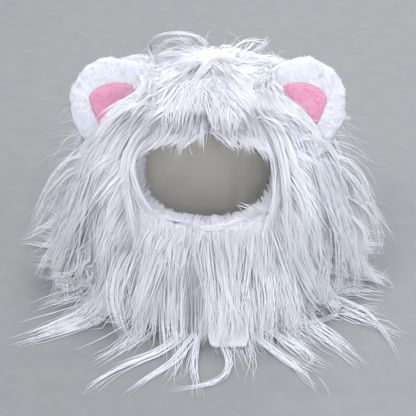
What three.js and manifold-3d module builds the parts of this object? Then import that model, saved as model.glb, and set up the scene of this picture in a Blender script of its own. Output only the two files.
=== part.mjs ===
// Pet lion mane wig: a fur hood with a face opening, two round plush ears and a closure tab at the chin.
// It stands open on its hem. Millimetres, +Z up, the face opening looks along -Y.
import * as THREE from 'three';
import { ConvexGeometry } from 'three/addons/geometries/ConvexGeometry.js';
import { mergeVertices } from 'three/addons/utils/BufferGeometryUtils.js';
import Module from 'manifold-3d';

const wasm = await Module();
wasm.setup();

// Hood cloth
const HOOD_HEIGHT = 134;
const HOOD_HALF_WIDTH = 60;
const HOOD_HALF_DEPTH = 53;
const CLOTH_WALL = 2;
const HEM_FOLD_HEIGHT = 9;
const HEM_FOLD_EXTRA = 1.8;
const GAP = 0.3;

// Face opening, through the front wall
const OPENING_WIDTH = 92;
const OPENING_HEIGHT = 62;
const OPENING_CENTRE_HEIGHT = HOOD_HEIGHT - 43;

// Fur pile and its locks
const PILE_DEPTH = 29;
const LOCK_LENGTH = 100;
const LOCK_WIDTH = 30;
const LOCK_THICKNESS = 11;
const KNOT_RADIUS = 19;
const KNOT_HEIGHT = 15;

// Ears and their inner patches
const EAR_WIDTH = 62;
const EAR_HEIGHT = 64;
const EAR_THICKNESS = 11;
const EAR_CUP = 4;
const EAR_SPREAD = 60;
const EAR_CENTRE_HEIGHT = HOOD_HEIGHT - 16;
const EAR_BACK_SET = 2;
const EAR_ROLL_DEG = 18;
const EAR_YAW_DEG = 10;
const EAR_PITCH_DEG = -14;
const PATCH_WIDTH = 36;
const PATCH_HEIGHT = 42;
const PATCH_THICKNESS = 1.2;

// Closure tab under the chin
const TAB_WIDTH = 26;
const TAB_LENGTH = 60;
const TAB_THICKNESS = 2;
const TAB_RISE = 16;
const TAB_SIDE_SHIFT = 13;

// Hood outline, hem to crown: shares of the height, the half width, and the half depth in front and behind
const HOOD_OUTLINE = [
  { height: 0.00, width: 0.98, front: 1.00, back: 0.98 },
  { height: 0.16, width: 1.01, front: 1.00, back: 1.01 },
  { height: 0.34, width: 1.02, front: 0.99, back: 1.02 },
  { height: 0.52, width: 1.00, front: 0.96, back: 1.00 },
  { height: 0.68, width: 0.94, front: 0.88, back: 0.95 },
  { height: 0.81, width: 0.83, front: 0.75, back: 0.85 },
  { height: 0.91, width: 0.65, front: 0.57, back: 0.68 },
  { height: 0.97, width: 0.42, front: 0.37, back: 0.45 },
  { height: 1.00, width: 0.00, front: 0.00, back: 0.00 },
];

// Depth of the pile above the cloth, as a share of PILE_DEPTH
const PILE_OUTLINE = [
  { height: 0.00, depth: 1.00 },
  { height: 0.34, depth: 1.00 },
  { height: 0.68, depth: 0.78 },
  { height: 0.91, depth: 0.55 },
  { height: 1.00, depth: 0.48 },
];

// Rows of locks, alike on both sides. Azimuth 0 is the front and 90 the side.
// Lift 1 leaves square to the cloth; side is the share of the length left at azimuth 90.
const LOCK_ROWS = [
  { row: 'brow', height: 0.90, from: 13, to: 38, count: 2, length: 0.34, width: 0.85, lift: 0.60, side: 1.00 },
  { row: 'temple', height: 0.84, from: 47, to: 66, count: 2, length: 0.72, width: 0.80, lift: 0.45, side: 1.00 },
  { row: 'cheek', height: 0.60, from: 46, to: 60, count: 2, length: 0.74, width: 0.80, lift: 0.50, side: 1.00 },
  { row: 'body upper', height: 0.71, from: 80, to: 170, count: 4, length: 0.92, width: 1.20, lift: 0.48, side: 0.95 },
  { row: 'body lower', height: 0.46, from: 68, to: 164, count: 5, length: 0.98, width: 1.15, lift: 0.50, side: 0.80 },
  { row: 'hem', height: 0.24, from: 64, to: 172, count: 6, length: 1.02, width: 0.85, lift: 0.55, side: 0.62 },
  { row: 'chin upper', height: 0.40, from: 8, to: 44, count: 3, length: 0.62, width: 0.90, lift: 0.65, side: 1.00 },
  { row: 'chin lower', height: 0.20, from: 9, to: 50, count: 4, length: 0.96, width: 0.70, lift: 0.60, side: 1.00 },
];

// Locks that spread from the crown's knot
const CROWN_LOCKS = [
  { azimuth: 18, length: 0.46 },
  { azimuth: 62, length: 0.50 },
  { azimuth: 112, length: 0.66 },
  { azimuth: 150, length: 0.80 },
  { azimuth: 184, length: 0.86 },
  { azimuth: 217, length: 0.78 },
  { azimuth: 252, length: 0.64 },
  { azimuth: 300, length: 0.52 },
  { azimuth: 342, length: 0.42 },
];

// Share of a lock's width and thickness from root to tip, and how fast it turns down
const LOCK_TAPER = [0.80, 1.00, 0.95, 0.76, 0.44, 0.08];
const FALL = { body: 0.42, crown: 0.62 };

// Cuts between the fur panels, in degrees of azimuth
const FUR_PANELS = [
  { name: 'mane_back', from: 128, to: 232 },
  { name: 'mane_right', from: 58, to: 128 },
  { name: 'mane_left', from: -128, to: -58 },
  { name: 'ruff_right', from: 0, to: 58 },
  { name: 'ruff_left', from: -58, to: 0 },
];

const rad = THREE.MathUtils.degToRad;
const at = (x, y, z) => new THREE.Vector3(x, y, z);

// Repeatable unevenness between -1 and 1
function wave(seed) {
  const value = Math.sin(seed * 127.1 + 311.7) * 43758.5453;
  return (value - Math.floor(value)) * 2 - 1;
}

function lookUp(table, height, column) {
  const top = table[table.length - 1];
  if (height >= top.height) return top[column];
  const next = Math.max(1, table.findIndex((row) => row.height > height));
  const low = table[next - 1];
  const high = table[next];
  const share = Math.max(0, (height - low.height) / (high.height - low.height));
  return THREE.MathUtils.lerp(low[column], high[column], share);
}

const pileDepth = (height) => lookUp(PILE_OUTLINE, height, 'depth') * PILE_DEPTH;

// Outward and upward parts of the hood's normal at a share of its height
function outlineNormal(height) {
  const low = Math.max(0, height - 0.02);
  const high = Math.min(1, height + 0.02);
  const run = (lookUp(HOOD_OUTLINE, high, 'width') - lookUp(HOOD_OUTLINE, low, 'width')) * HOOD_HALF_WIDTH;
  const rise = (high - low) * HOOD_HEIGHT;
  const length = Math.hypot(run, rise);
  return { out: rise / length, up: Math.max(0, -run / length) };
}

// Point of the hood's surface, or above it by an offset
function hoodPoint(azimuth, height, offset) {
  const normal = outlineNormal(height);
  const side = Math.sin(azimuth);
  const ahead = Math.cos(azimuth);
  const halfWidth = lookUp(HOOD_OUTLINE, height, 'width') * HOOD_HALF_WIDTH + offset * normal.out;
  const halfDepth = lookUp(HOOD_OUTLINE, height, ahead > 0 ? 'front' : 'back') * HOOD_HALF_DEPTH
    + offset * normal.out;
  const power = 0.89;
  return at(
    Math.sign(side) * halfWidth * Math.abs(side) ** power,
    -Math.sign(ahead) * halfDepth * Math.abs(ahead) ** power,
    height * HOOD_HEIGHT + offset * normal.up,
  );
}

// Closed surface through rings of equal length, with a fan cap at each end
function skin(rings) {
  const count = rings[0].length;
  const points = rings.flat();
  const faces = [];
  for (let i = 0; i < rings.length - 1; i += 1) {
    for (let j = 0; j < count; j += 1) {
      const a = i * count + j;
      const b = i * count + ((j + 1) % count);
      faces.push([a, b, b + count], [a, b + count, a + count]);
    }
  }
  for (const start of [0, (rings.length - 1) * count]) {
    const centre = at(0, 0, 0);
    for (let j = 0; j < count; j += 1) centre.add(points[start + j]);
    points.push(centre.divideScalar(count));
    for (let j = 0; j < count; j += 1) {
      const a = start + j;
      const b = start + ((j + 1) % count);
      faces.push(start === 0 ? [b, a, points.length - 1] : [a, b, points.length - 1]);
    }
  }
  return surface(points, faces);
}

// Indexed geometry whose faces point out
function surface(points, faces) {
  let volume = 0;
  const cross = at(0, 0, 0);
  for (const [a, b, c] of faces) volume += points[a].dot(cross.crossVectors(points[b], points[c]));
  const geometry = new THREE.BufferGeometry().setFromPoints(points);
  geometry.setIndex(faces.flatMap(([a, b, c]) => (volume < 0 ? [a, c, b] : [a, b, c])));
  return geometry;
}

function solidOf(geometry) {
  return new wasm.Manifold(new wasm.Mesh({
    numProp: 3,
    vertProperties: new Float32Array(geometry.getAttribute('position').array),
    triVerts: new Uint32Array(geometry.getIndex().array),
  }));
}

function convexGeometry(points) {
  return mergeVertices(new ConvexGeometry(points).deleteAttribute('normal'));
}

const joined = (solids) => solids.reduce((all, solid) => all.add(solid));

function largest(solid) {
  const bodies = solid.decompose();
  bodies.sort((a, b) => b.volume() - a.volume());
  return bodies[0];
}

// Hood-shaped solid, grown by a depth that may vary with height
function hoodSolid(depthAt, around, dropBelow = 0) {
  const rings = HOOD_OUTLINE.map(({ height }) => {
    const ring = [];
    for (let j = 0; j < around; j += 1) {
      ring.push(hoodPoint((j / around) * 2 * Math.PI, Math.min(height, 0.995), depthAt(height)));
    }
    if (height === 0) for (const point of ring) point.z = -dropBelow;
    return ring;
  });
  return solidOf(skin(rings));
}

// Reach of the cutters, past everything else
const FAR = HOOD_HEIGHT * 4;

// Solid that cuts the face opening: an oval that widens to the front while its lower edge rises
function openingSolid(grow, flare, rise) {
  const rings = [0.25, 0.9, 1.6, 2.6].map((distance) => {
    const ring = [];
    const beyond = Math.max(0, distance - 0.9) * HOOD_HALF_DEPTH;
    for (let j = 0; j < 20; j += 1) {
      const turn = (j / 20) * 2 * Math.PI;
      const across = Math.sign(Math.cos(turn)) * Math.abs(Math.cos(turn)) ** 0.86;
      const level = Math.sign(Math.sin(turn)) * Math.abs(Math.sin(turn)) ** 0.86;
      ring.push(at(
        (OPENING_WIDTH / 2 + grow + beyond * flare) * across,
        -distance * HOOD_HALF_DEPTH,
        OPENING_CENTRE_HEIGHT + beyond * rise + (OPENING_HEIGHT / 2 + grow - beyond * rise) * level,
      ));
    }
    return ring;
  });
  return solidOf(skin(rings));
}

// One lock: a ridged tapered bundle that leaves the cloth, hangs on the pile and lies out along the floor
function lockRings({ azimuth, height, length, width, lift, fall, seed }, grow = 0) {
  const last = LOCK_TAPER.length - 1;
  const step = length / last;
  const normal = outlineNormal(height);
  const radial = at(Math.sin(azimuth), -Math.cos(azimuth), 0);
  const sideways = at(Math.cos(azimuth), Math.sin(azimuth), 0);
  const heading = radial.clone().multiplyScalar(normal.out * lift + 0.1)
    .add(at(0, 0, normal.up * lift * 0.5 - (1 - lift)))
    .addScaledVector(sideways, 0.12 * wave(seed + 0.5))
    .normalize();
  const point = hoodPoint(azimuth, height, pileDepth(height) * 0.8);
  return LOCK_TAPER.map((taper, i) => {
    const halfWidth = (width / 2) * taper;
    const halfThickness = (LOCK_THICKNESS / 2) * taper;
    const level = THREE.MathUtils.clamp(point.z / HOOD_HEIGHT, 0, 0.97);
    const hung = hoodPoint(azimuth, level, pileDepth(level) + halfThickness * 0.55);
    const short = Math.hypot(hung.x, hung.y) - Math.hypot(point.x, point.y);
    if (i > 0 && short > 0) point.addScaledVector(radial, short);
    point.z = Math.max(point.z, halfThickness);
    const flat = sideways.clone().addScaledVector(heading, -sideways.dot(heading)).normalize();
    const ridge = at(0, 0, 0).crossVectors(heading, flat);
    const ends = grow * (Number(i === last) - Number(i === 0));
    const ring = [[1, -1], [0, 1], [-1, -1]].map(([across, up]) => (
      point.clone()
        .addScaledVector(heading, ends)
        .addScaledVector(flat, across * (halfWidth + 3 * grow))
        .addScaledVector(ridge, up * (halfThickness + 1.5 * grow))
    ));
    heading.z -= fall;
    heading.addScaledVector(sideways, 0.05 * wave(seed + i * 1.7)).normalize();
    const floor = (LOCK_THICKNESS / 2) * LOCK_TAPER[Math.min(i + 1, last)];
    if (point.z + heading.z * step < floor) {
      const drop = Math.min(0, floor - point.z);
      point.addScaledVector(radial, Math.sqrt(Math.max(0, step * step - drop * drop)));
      point.z += drop;
      heading.z = 0;
      heading.addScaledVector(radial, 0.5).normalize();
    } else {
      point.addScaledVector(heading, step);
    }
    return ring;
  });
}

// Room for a run of rings: a convex block over each span
function spanRoom(rings) {
  return joined(rings.slice(1).map((ring, i) => solidOf(convexGeometry([...rings[i], ...ring]))));
}

function bodyLocks() {
  const locks = [];
  let seed = 1;
  for (const row of LOCK_ROWS) {
    for (let i = 0; i < row.count; i += 1) {
      for (const side of [-1, 1]) {
        seed += 1;
        const azimuth = rad(THREE.MathUtils.lerp(row.from, row.to, i / (row.count - 1)) + 2.5 * wave(seed));
        const share = THREE.MathUtils.lerp(1, row.side, Math.sin(azimuth) ** 2);
        locks.push(lockRings({
          azimuth: side * azimuth,
          height: row.height + 0.025 * wave(seed + 0.2),
          length: LOCK_LENGTH * row.length * share * (1 + 0.07 * wave(seed + 0.7)),
          width: LOCK_WIDTH * row.width,
          lift: row.lift,
          fall: FALL.body,
          seed,
        }));
      }
    }
  }
  return locks.map((rings) => solidOf(skin(rings)));
}

// Crown: a low knot of fur with locks falling from it all round
function crownSolid(grow) {
  const top = HOOD_HEIGHT + pileDepth(1);
  const knot = [
    { level: top - KNOT_HEIGHT * 0.60 - grow, radius: KNOT_RADIUS * 0.74 },
    { level: top - KNOT_HEIGHT * 0.13, radius: KNOT_RADIUS },
    { level: top + KNOT_HEIGHT * 0.27, radius: KNOT_RADIUS * 0.68 },
    { level: top + KNOT_HEIGHT * 0.40 + grow, radius: KNOT_RADIUS * 0.26 },
  ].map(({ level, radius }) => {
    const ring = [];
    for (let j = 0; j < 12; j += 1) {
      const turn = (j / 12) * 2 * Math.PI;
      ring.push(at((radius + grow) * Math.cos(turn), (radius + grow) * Math.sin(turn), level));
    }
    return ring;
  });
  const locks = CROWN_LOCKS.map(({ azimuth, length }, i) => lockRings({
    azimuth: rad(azimuth),
    height: 0.985,
    length: LOCK_LENGTH * length,
    width: LOCK_WIDTH * 0.95,
    lift: 0.85,
    fall: FALL.crown,
    seed: 200 + i,
  }, grow));
  return joined([solidOf(skin(knot)), ...locks.map((rings) => (grow > 0 ? spanRoom(rings) : solidOf(skin(rings))))]);
}

const PATCH_CELLS = 5;

// Ear in its own frame: x across, z up, -y the face; a stuffed disc, cupped forward, with a puckered edge
function earReach(turn) {
  const pucker = 1 + 0.012 * Math.cos(7 * turn + 0.6);
  return pucker * Math.hypot((EAR_WIDTH / 2) * Math.cos(turn), (EAR_HEIGHT / 2) * Math.sin(turn));
}

function earFace(across, level) {
  const reach = Math.min(1, Math.hypot(across, level) / earReach(Math.atan2(level, across)));
  return -(EAR_THICKNESS / 2) * Math.sqrt(1 - reach ** 3.2) - EAR_CUP * reach ** 2;
}

function earGeometry(grow) {
  const reaches = [0.14, 0.55, 0.87, 1, 0.87, 0.55, 0.14];
  return skin(reaches.map((reach, i) => {
    const depth = Math.sign(i - 3) * Math.sqrt(1 - reach ** 3.2);
    const ring = [];
    for (let j = 0; j < 24; j += 1) {
      const turn = (j / 24) * 2 * Math.PI;
      const radius = earReach(turn) * reach + grow;
      ring.push(at(
        radius * Math.cos(turn),
        depth * (EAR_THICKNESS / 2 + grow) - EAR_CUP * reach ** 2,
        radius * Math.sin(turn),
      ));
    }
    return ring;
  }));
}

// One side of the patch, at a height above the ear's face: a rounded shield, wider at the top
function patchLayer(lift, grow = 0) {
  const grid = [];
  for (let i = 0; i <= PATCH_CELLS; i += 1) {
    for (let j = 0; j <= PATCH_CELLS; j += 1) {
      const p = (i / PATCH_CELLS) * 2 - 1;
      const q = (j / PATCH_CELLS) * 2 - 1;
      const round = 1 - 0.16 * p * p * q * q;
      const across = (PATCH_WIDTH / 2 + grow) * p * round * (0.8 + 0.2 * q);
      const level = (PATCH_HEIGHT / 2 + grow) * (q * round + 0.1 * (1 - p * p)) - EAR_HEIGHT * 0.12;
      grid.push(at(across, earFace(across, level) - lift, level));
    }
  }
  return grid;
}

function patchGeometry() {
  const cells = PATCH_CELLS;
  const side = cells + 1;
  const points = [...patchLayer(GAP), ...patchLayer(GAP + PATCH_THICKNESS)];
  const over = side * side;
  const faces = [];
  for (let i = 0; i < cells; i += 1) {
    for (let j = 0; j < cells; j += 1) {
      const a = i * side + j;
      const b = a + side;
      faces.push([a, b, b + 1], [a, b + 1, a + 1]);
      faces.push([a + over, b + 1 + over, b + over], [a + over, a + 1 + over, b + 1 + over]);
    }
  }
  const edge = [];
  for (let i = 0; i < cells; i += 1) edge.push(i * side);
  for (let j = 0; j < cells; j += 1) edge.push(cells * side + j);
  for (let i = cells; i > 0; i -= 1) edge.push(i * side + cells);
  for (let j = cells; j > 0; j -= 1) edge.push(j);
  edge.forEach((a, k) => {
    const b = edge[(k + 1) % edge.length];
    faces.push([b, a, a + over], [b, a + over, b + over]);
  });
  return surface(points, faces);
}

// Moves a piece of an ear from its own frame to its side of the head
function onHead(geometry, side) {
  const holder = new THREE.Object3D();
  holder.position.set(side * EAR_SPREAD, EAR_BACK_SET, EAR_CENTRE_HEIGHT);
  holder.rotation.set(rad(EAR_PITCH_DEG), rad(side * EAR_ROLL_DEG), rad(side * EAR_YAW_DEG), 'ZXY');
  holder.updateMatrix();
  return solidOf(geometry.applyMatrix4(holder.matrix));
}

// Closure tab: leaves the hem under the chin fur and tips down to the floor
function tabSolid(grow) {
  const path = [
    { run: 0.00, rise: 0.94, width: 0.90 },
    { run: 0.40, rise: 1.00, width: 1.00 },
    { run: 0.72, rise: 0.81, width: 1.00 },
    { run: 0.94, rise: 0.27, width: 1.00 },
    { run: 1.00, rise: 0.10, width: 0.84 },
  ];
  const first = HOOD_HALF_DEPTH + GAP * 2;
  return solidOf(skin(path.map(({ run, rise, width }, i) => {
    const ends = grow * (i === 0 ? -1 : Number(i === path.length - 1));
    const half = (TAB_WIDTH / 2) * width + grow;
    const thick = TAB_THICKNESS / 2 + grow;
    const y = -(first + run * TAB_LENGTH + ends);
    const level = TAB_THICKNESS / 2 + rise * TAB_RISE;
    return [[-1, -1], [1, -1], [1, 1], [-1, 1]].map(([u, v]) => (
      at(TAB_SIDE_SHIFT + u * half, y - v * thick * 0.35, level + v * thick)
    ));
  })));
}

// Slab of the whole plan between two levels
function slabSolid(low, high) {
  const box = new THREE.BoxGeometry(FAR, FAR, high - low);
  return solidOf(boxSurface(box.translate(0, 0, (high + low) / 2)));
}

// A box's eight corners as one closed surface
function boxSurface(box) {
  box.computeBoundingBox();
  const { min, max } = box.boundingBox;
  const square = (z) => [at(min.x, min.y, z), at(max.x, min.y, z), at(max.x, max.y, z), at(min.x, max.y, z)];
  return skin([square(min.z), square(max.z)]);
}

// Upright wedge between two azimuths, drawn in from its neighbours by half the gap
function wedgeSolid(from, to) {
  const middle = rad((from + to) / 2);
  const inset = GAP / 2 / Math.sin(rad((to - from) / 2));
  const outline = [at(0, 0, 0)];
  for (let i = 0; i <= 4; i += 1) {
    const turn = rad(THREE.MathUtils.lerp(from, to, i / 4));
    outline.push(at(Math.sin(turn) * FAR, -Math.cos(turn) * FAR, 0));
  }
  for (const point of outline) point.add(at(Math.sin(middle) * inset, -Math.cos(middle) * inset, 0));
  return solidOf(skin([-FAR, FAR].map((z) => outline.map((point) => point.clone().setZ(z)))));
}

// Cloth hood, open at the neck and the face, with a folded hem
const CLOTH_AROUND = 22;
const PILE_AROUND = 20;
const outer = hoodSolid(() => 0, CLOTH_AROUND);
const hemBand = slabSolid(-HEM_FOLD_HEIGHT, HEM_FOLD_HEIGHT);
const hollow = hoodSolid(() => -CLOTH_WALL, CLOTH_AROUND, HEM_FOLD_HEIGHT / 2).subtract(hemBand)
  .add(hoodSolid(() => -CLOTH_WALL - HEM_FOLD_EXTRA, CLOTH_AROUND, HEM_FOLD_HEIGHT / 2).intersect(hemBand));
const lining = outer.subtract(hollow).subtract(openingSolid(0, 0, 0));
const clothRoom = hoodSolid(() => GAP, CLOTH_AROUND, HEM_FOLD_HEIGHT / 2);

const ears = [-1, 1].map((side) => ({
  hand: side < 0 ? 'left' : 'right',
  ear: largest(onHead(earGeometry(0), side).subtract(clothRoom)),
  patch: largest(onHead(patchGeometry(), side).subtract(clothRoom)),
  room: onHead(earGeometry(GAP), side)
    .add(onHead(convexGeometry([...patchLayer(0), ...patchLayer(PATCH_THICKNESS + GAP * 3, GAP * 3)]), side)),
}));

// Room that the fur leaves for everything else
const taken = joined([
  clothRoom,
  openingSolid(-2, 0.16, 0.16),
  tabSolid(GAP),
  ...ears.map(({ room }) => room),
]);
const pile = hoodSolid(pileDepth, PILE_AROUND);
const crown = largest(crownSolid(0).simplify(0.25).subtract(taken));
const fur = joined([pile, ...bodyLocks()]).simplify(2)
  .subtract(taken)
  .subtract(crownSolid(GAP * 3));

const group = new THREE.Group();

function addPart(name, solid, colour, roughness) {
  const { vertProperties, triVerts } = solid.getMesh();
  const geometry = new THREE.BufferGeometry();
  geometry.setAttribute('position', new THREE.BufferAttribute(new Float32Array(vertProperties), 3));
  geometry.setIndex(new THREE.BufferAttribute(new Uint32Array(triVerts), 1));
  const part = new THREE.Mesh(geometry, new THREE.MeshStandardMaterial({ color: colour, roughness }));
  part.name = name;
  group.add(part);
}

addPart('hood_lining', lining, 0x97968f, 0.95);
addPart('mane_crown', crown, 0xe6e6ee, 0.8);
for (const { name, from, to } of FUR_PANELS) {
  addPart(name, largest(fur.intersect(wedgeSolid(from, to))), 0xe6e6ee, 0.8);
}
for (const { hand, ear, patch } of ears) {
  addPart(`ear_${hand}`, ear, 0xdfdff0, 0.95);
  addPart(`ear_patch_${hand}`, patch, 0xe4a3c3, 0.95);
}
addPart('closure_tab', tabSolid(0), 0xcfcfd4, 0.9);

// Origin at the bottom centre of the whole wig
const bounds = new THREE.Box3().setFromObject(group);
const centre = bounds.getCenter(at(0, 0, 0));
for (const part of group.children) part.geometry.translate(-centre.x, -centre.y, -bounds.min.z);

export default group;
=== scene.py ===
import math

import bmesh
import bpy
import numpy as np
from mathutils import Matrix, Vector


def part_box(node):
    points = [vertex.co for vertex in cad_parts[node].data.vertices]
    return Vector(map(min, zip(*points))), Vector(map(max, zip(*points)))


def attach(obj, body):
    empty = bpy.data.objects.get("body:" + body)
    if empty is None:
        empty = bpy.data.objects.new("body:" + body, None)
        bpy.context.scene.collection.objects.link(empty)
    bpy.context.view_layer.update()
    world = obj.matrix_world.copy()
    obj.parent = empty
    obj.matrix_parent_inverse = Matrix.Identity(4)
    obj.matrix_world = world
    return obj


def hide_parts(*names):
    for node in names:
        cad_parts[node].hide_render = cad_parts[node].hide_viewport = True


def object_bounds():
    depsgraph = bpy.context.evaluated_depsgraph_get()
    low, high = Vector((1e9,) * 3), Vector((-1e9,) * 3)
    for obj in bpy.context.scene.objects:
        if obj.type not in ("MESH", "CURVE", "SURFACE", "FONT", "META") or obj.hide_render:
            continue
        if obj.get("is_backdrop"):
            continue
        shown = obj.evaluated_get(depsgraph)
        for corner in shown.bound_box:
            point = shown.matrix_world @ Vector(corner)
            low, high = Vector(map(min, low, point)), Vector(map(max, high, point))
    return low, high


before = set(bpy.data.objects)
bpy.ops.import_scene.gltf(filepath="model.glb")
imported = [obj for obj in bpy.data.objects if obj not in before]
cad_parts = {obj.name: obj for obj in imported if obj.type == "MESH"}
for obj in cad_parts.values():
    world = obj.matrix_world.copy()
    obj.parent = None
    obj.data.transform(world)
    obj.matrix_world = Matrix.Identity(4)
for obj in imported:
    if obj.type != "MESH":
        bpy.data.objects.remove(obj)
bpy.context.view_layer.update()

# Sizes in millimetres, the same as in the part's source
HOOD_HEIGHT, HALF_WIDTH, HALF_DEPTH = 134.0, 60.0, 53.0
CLOTH_WALL = 2.0
PILE_DEPTH = 29.0
LOCK_LENGTH, LOCK_WIDTH, LOCK_THICKNESS = 100.0, 30.0, 11.0
OPENING_WIDTH, OPENING_HEIGHT, OPENING_CENTRE = 92.0, 62.0, 91.0
EAR_WIDTH, EAR_HEIGHT, EAR_THICKNESS, EAR_CUP = 62.0, 64.0, 11.0, 4.0
EAR_SPREAD, EAR_BACK_SET, EAR_CENTRE = 60.0, 2.0, 118.0
EAR_ROLL, EAR_YAW, EAR_PITCH = 18.0, 10.0, -14.0
PATCH_WIDTH, PATCH_HEIGHT = 36.0, 42.0
TAB_WIDTH, TAB_ASIDE, TAB_START, TAB_RUN = 26.0, 13.0, 53.6, 60.0
TAB_RISE = [0.0, 0.40, 0.72, 0.94, 1.0], [0.94, 1.0, 0.81, 0.27, 0.10]
SUPER = 0.89
POWER = 2 / SUPER

# The face opening: half sizes, how round it is, and how it changes in front of the cloth, where it
# grows wider and its lower edge rises, per millimetre
OPEN_WIDE, OPEN_HIGH = OPENING_WIDTH / 2, OPENING_HEIGHT / 2
OPENING_POWER, OPENING_ROUNDING = 2.3, 0.86
FRONT_START, FRONT_RUN, FLARE_SIDE, FLARE_LOW = 48.0, 40.0, 0.14, 0.16
HOOD_FRONT = -22.0

# Limits round an ear in its own directions: fur keeps clear of it above the first, and from ahead
# of it to behind it; roots in front of its face and low down stay
EAR_FREE_LOW, EAR_AHEAD, EAR_BEHIND, EAR_FACE, EAR_LOW = -13.0, -34.0, 9.0, -11.0, -7.0

# How high the fur may stand by its distance to the side, and how far the strands may reach
CROWN_CAP = [0, 12, 24, 36, 44, 60, 90], [157, 155.5, 152, 147, 142, 134, 112]
SIDE_REACH, FRONT_REACH, TOP_REACH = 132.0, 160.0, 156.0

# The pile's depth in front and behind, as shares of its width, and where its panels meet, in degrees
DEPTH_SHARES = 0.84, 0.95
SIDE_FROM, BACK_FROM = 58, 128

# The lining's folded hem, the plush's nap, and how the strands are spread
HEM_HEIGHT, HEM_THICKNESS = 9.0, 1.8
NAP_LENGTH, NAP_RADIUS = 1.5, 0.22
PATH_STEPS, BODY_ROWS, BODY_SPACING, FLYAWAYS, GOLDEN_TURN = 15, 12, 11.0, 900, 2.399963

# Hood outline: height, half width, half depth in front, half depth behind
OUTLINE = np.array([
    (0.00, 0.98, 1.00, 0.98), (0.16, 1.01, 1.00, 1.01), (0.34, 1.02, 0.99, 1.02),
    (0.52, 1.00, 0.96, 1.00), (0.68, 0.94, 0.88, 0.95), (0.81, 0.83, 0.75, 0.85),
    (0.91, 0.65, 0.57, 0.68), (0.97, 0.42, 0.37, 0.45), (1.00, 0.00, 0.00, 0.00),
])
PILE = np.array([(0.0, 1.0), (0.34, 1.0), (0.68, 0.78), (0.91, 0.55), (1.0, 0.48)])

# Rows of locks: height, from, to, count, length, width, lift, share of the length left at the side
LOCK_ROWS = [
    (0.90, 13, 38, 2, 0.34, 0.85, 0.60, 1.00),
    (0.84, 47, 66, 2, 0.72, 0.80, 0.45, 1.00),
    (0.60, 46, 60, 2, 0.74, 0.80, 0.50, 1.00),
    (0.71, 80, 170, 4, 0.92, 1.20, 0.48, 0.95),
    (0.46, 68, 164, 5, 0.98, 1.15, 0.50, 0.80),
    (0.24, 64, 172, 6, 1.02, 0.85, 0.55, 0.62),
    (0.40, 8, 44, 3, 0.62, 0.90, 0.65, 1.00),
    (0.20, 9, 50, 4, 0.96, 0.70, 0.60, 1.00),
]
CROWN_LOCKS = [
    (18, 0.46), (62, 0.50), (112, 0.66), (150, 0.80), (184, 0.86), (217, 0.78), (252, 0.64), (300, 0.52),
    (342, 0.42),
]
FALL, CROWN_FALL = 0.42, 0.62

# How far fur may run out along the floor, with thin wisps at the front and back and little at the
# front corners: degrees from the front, least, most
FLOOR_SPARE = [
    (0, 12, 46), (25, 10, 40), (40, 0, 20), (65, -4, 24), (85, -2, 40), (120, 6, 52), (180, 16, 70),
]

# Fur on the ledge below the face opening: share of the way out, fall over the edge, height above it
LEDGE_PATH = [
    (0.0, 0, 3.4), (0.35, 0, 4.6), (0.7, 0, 4.8), (1.0, 0.5, 4.0), (1, 8, 3.0), (1, 20, 2.4), (1, 34, 2.0),
]

# Where the source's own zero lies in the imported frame
lining_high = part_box("hood_lining")[1]
ear_boxes = [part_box("ear_left"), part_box("ear_right")]
ORIGIN = np.array([
    1000 * sum(low.x + high.x for low, high in ear_boxes) / 4,
    1000 * lining_high.y - 1.02 * HALF_DEPTH,
    0.0,
])


def to_frame(points):
    return (np.asarray(points, float) + ORIGIN) / 1000.0


def from_frame(points):
    return points * 1000 - ORIGIN


def xyz(points):
    return np.moveaxis(points, -1, 0)


def unit(v):
    return v / np.maximum(np.linalg.norm(v, axis=-1, keepdims=True), 1e-9)


def square_to(direction, axis):
    """The part of a direction that is square to an axis."""
    return direction - axis * (direction * axis).sum(-1, keepdims=True)


def away_from_middle(turn):
    """Level directions straight out from the middle, at turns counted from the front."""
    return np.stack([np.sin(turn), -np.cos(turn), np.zeros_like(turn)], -1)


def round_middle(turn):
    """Level directions along the hood's round, at turns counted from the front."""
    return np.stack([np.cos(turn), np.sin(turn), np.zeros_like(turn)], -1)


def rounded(u, v, power):
    """How far out a place lies in a rounded shape, 1 on its edge, from its shares of the half sizes."""
    return (u ** power + v ** power) ** (1 / power)


def signed_power(value, power):
    return np.sign(value) * np.abs(value) ** power


# Hood surface

def outline(height, column):
    return np.interp(height, OUTLINE[:, 0], OUTLINE[:, column])


def pile_depth(height):
    return PILE_DEPTH * np.interp(height, PILE[:, 0], PILE[:, 1])


def outline_normal(height):
    low, high = np.maximum(0, height - 0.02), np.minimum(1, height + 0.02)
    run = (outline(high, 1) - outline(low, 1)) * HALF_WIDTH
    rise = (high - low) * HOOD_HEIGHT
    length = np.hypot(run, rise)
    return rise / length, np.maximum(0, -run / length)


def hood(azimuth, height, offset):
    azimuth, height, offset = np.broadcast_arrays(azimuth, height, offset)
    out, up = outline_normal(height)
    side, ahead = np.sin(azimuth), np.cos(azimuth)
    half_width = outline(height, 1) * HALF_WIDTH + offset * out
    half_depth = np.where(ahead > 0, outline(height, 2), outline(height, 3)) * HALF_DEPTH + offset * out
    return np.stack([
        half_width * signed_power(side, SUPER), -half_depth * signed_power(ahead, SUPER),
        height * HOOD_HEIGHT + offset * up,
    ], -1)


# Pile surface as tables over its level: half width, half depths, and the upward part of its normal
_h = np.linspace(0, 1, 401)
_out, _up = outline_normal(_h)
_level = np.maximum.accumulate(_h * HOOD_HEIGHT + pile_depth(_h) * _up + 1e-6 * _h)
_wide, _front, _back = (
    outline(_h, column) * half + pile_depth(_h) * _out
    for column, half in ((1, HALF_WIDTH), (2, HALF_DEPTH), (3, HALF_DEPTH))
)
_wide[-1] = _front[-1] = _back[-1] = 0.5


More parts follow.
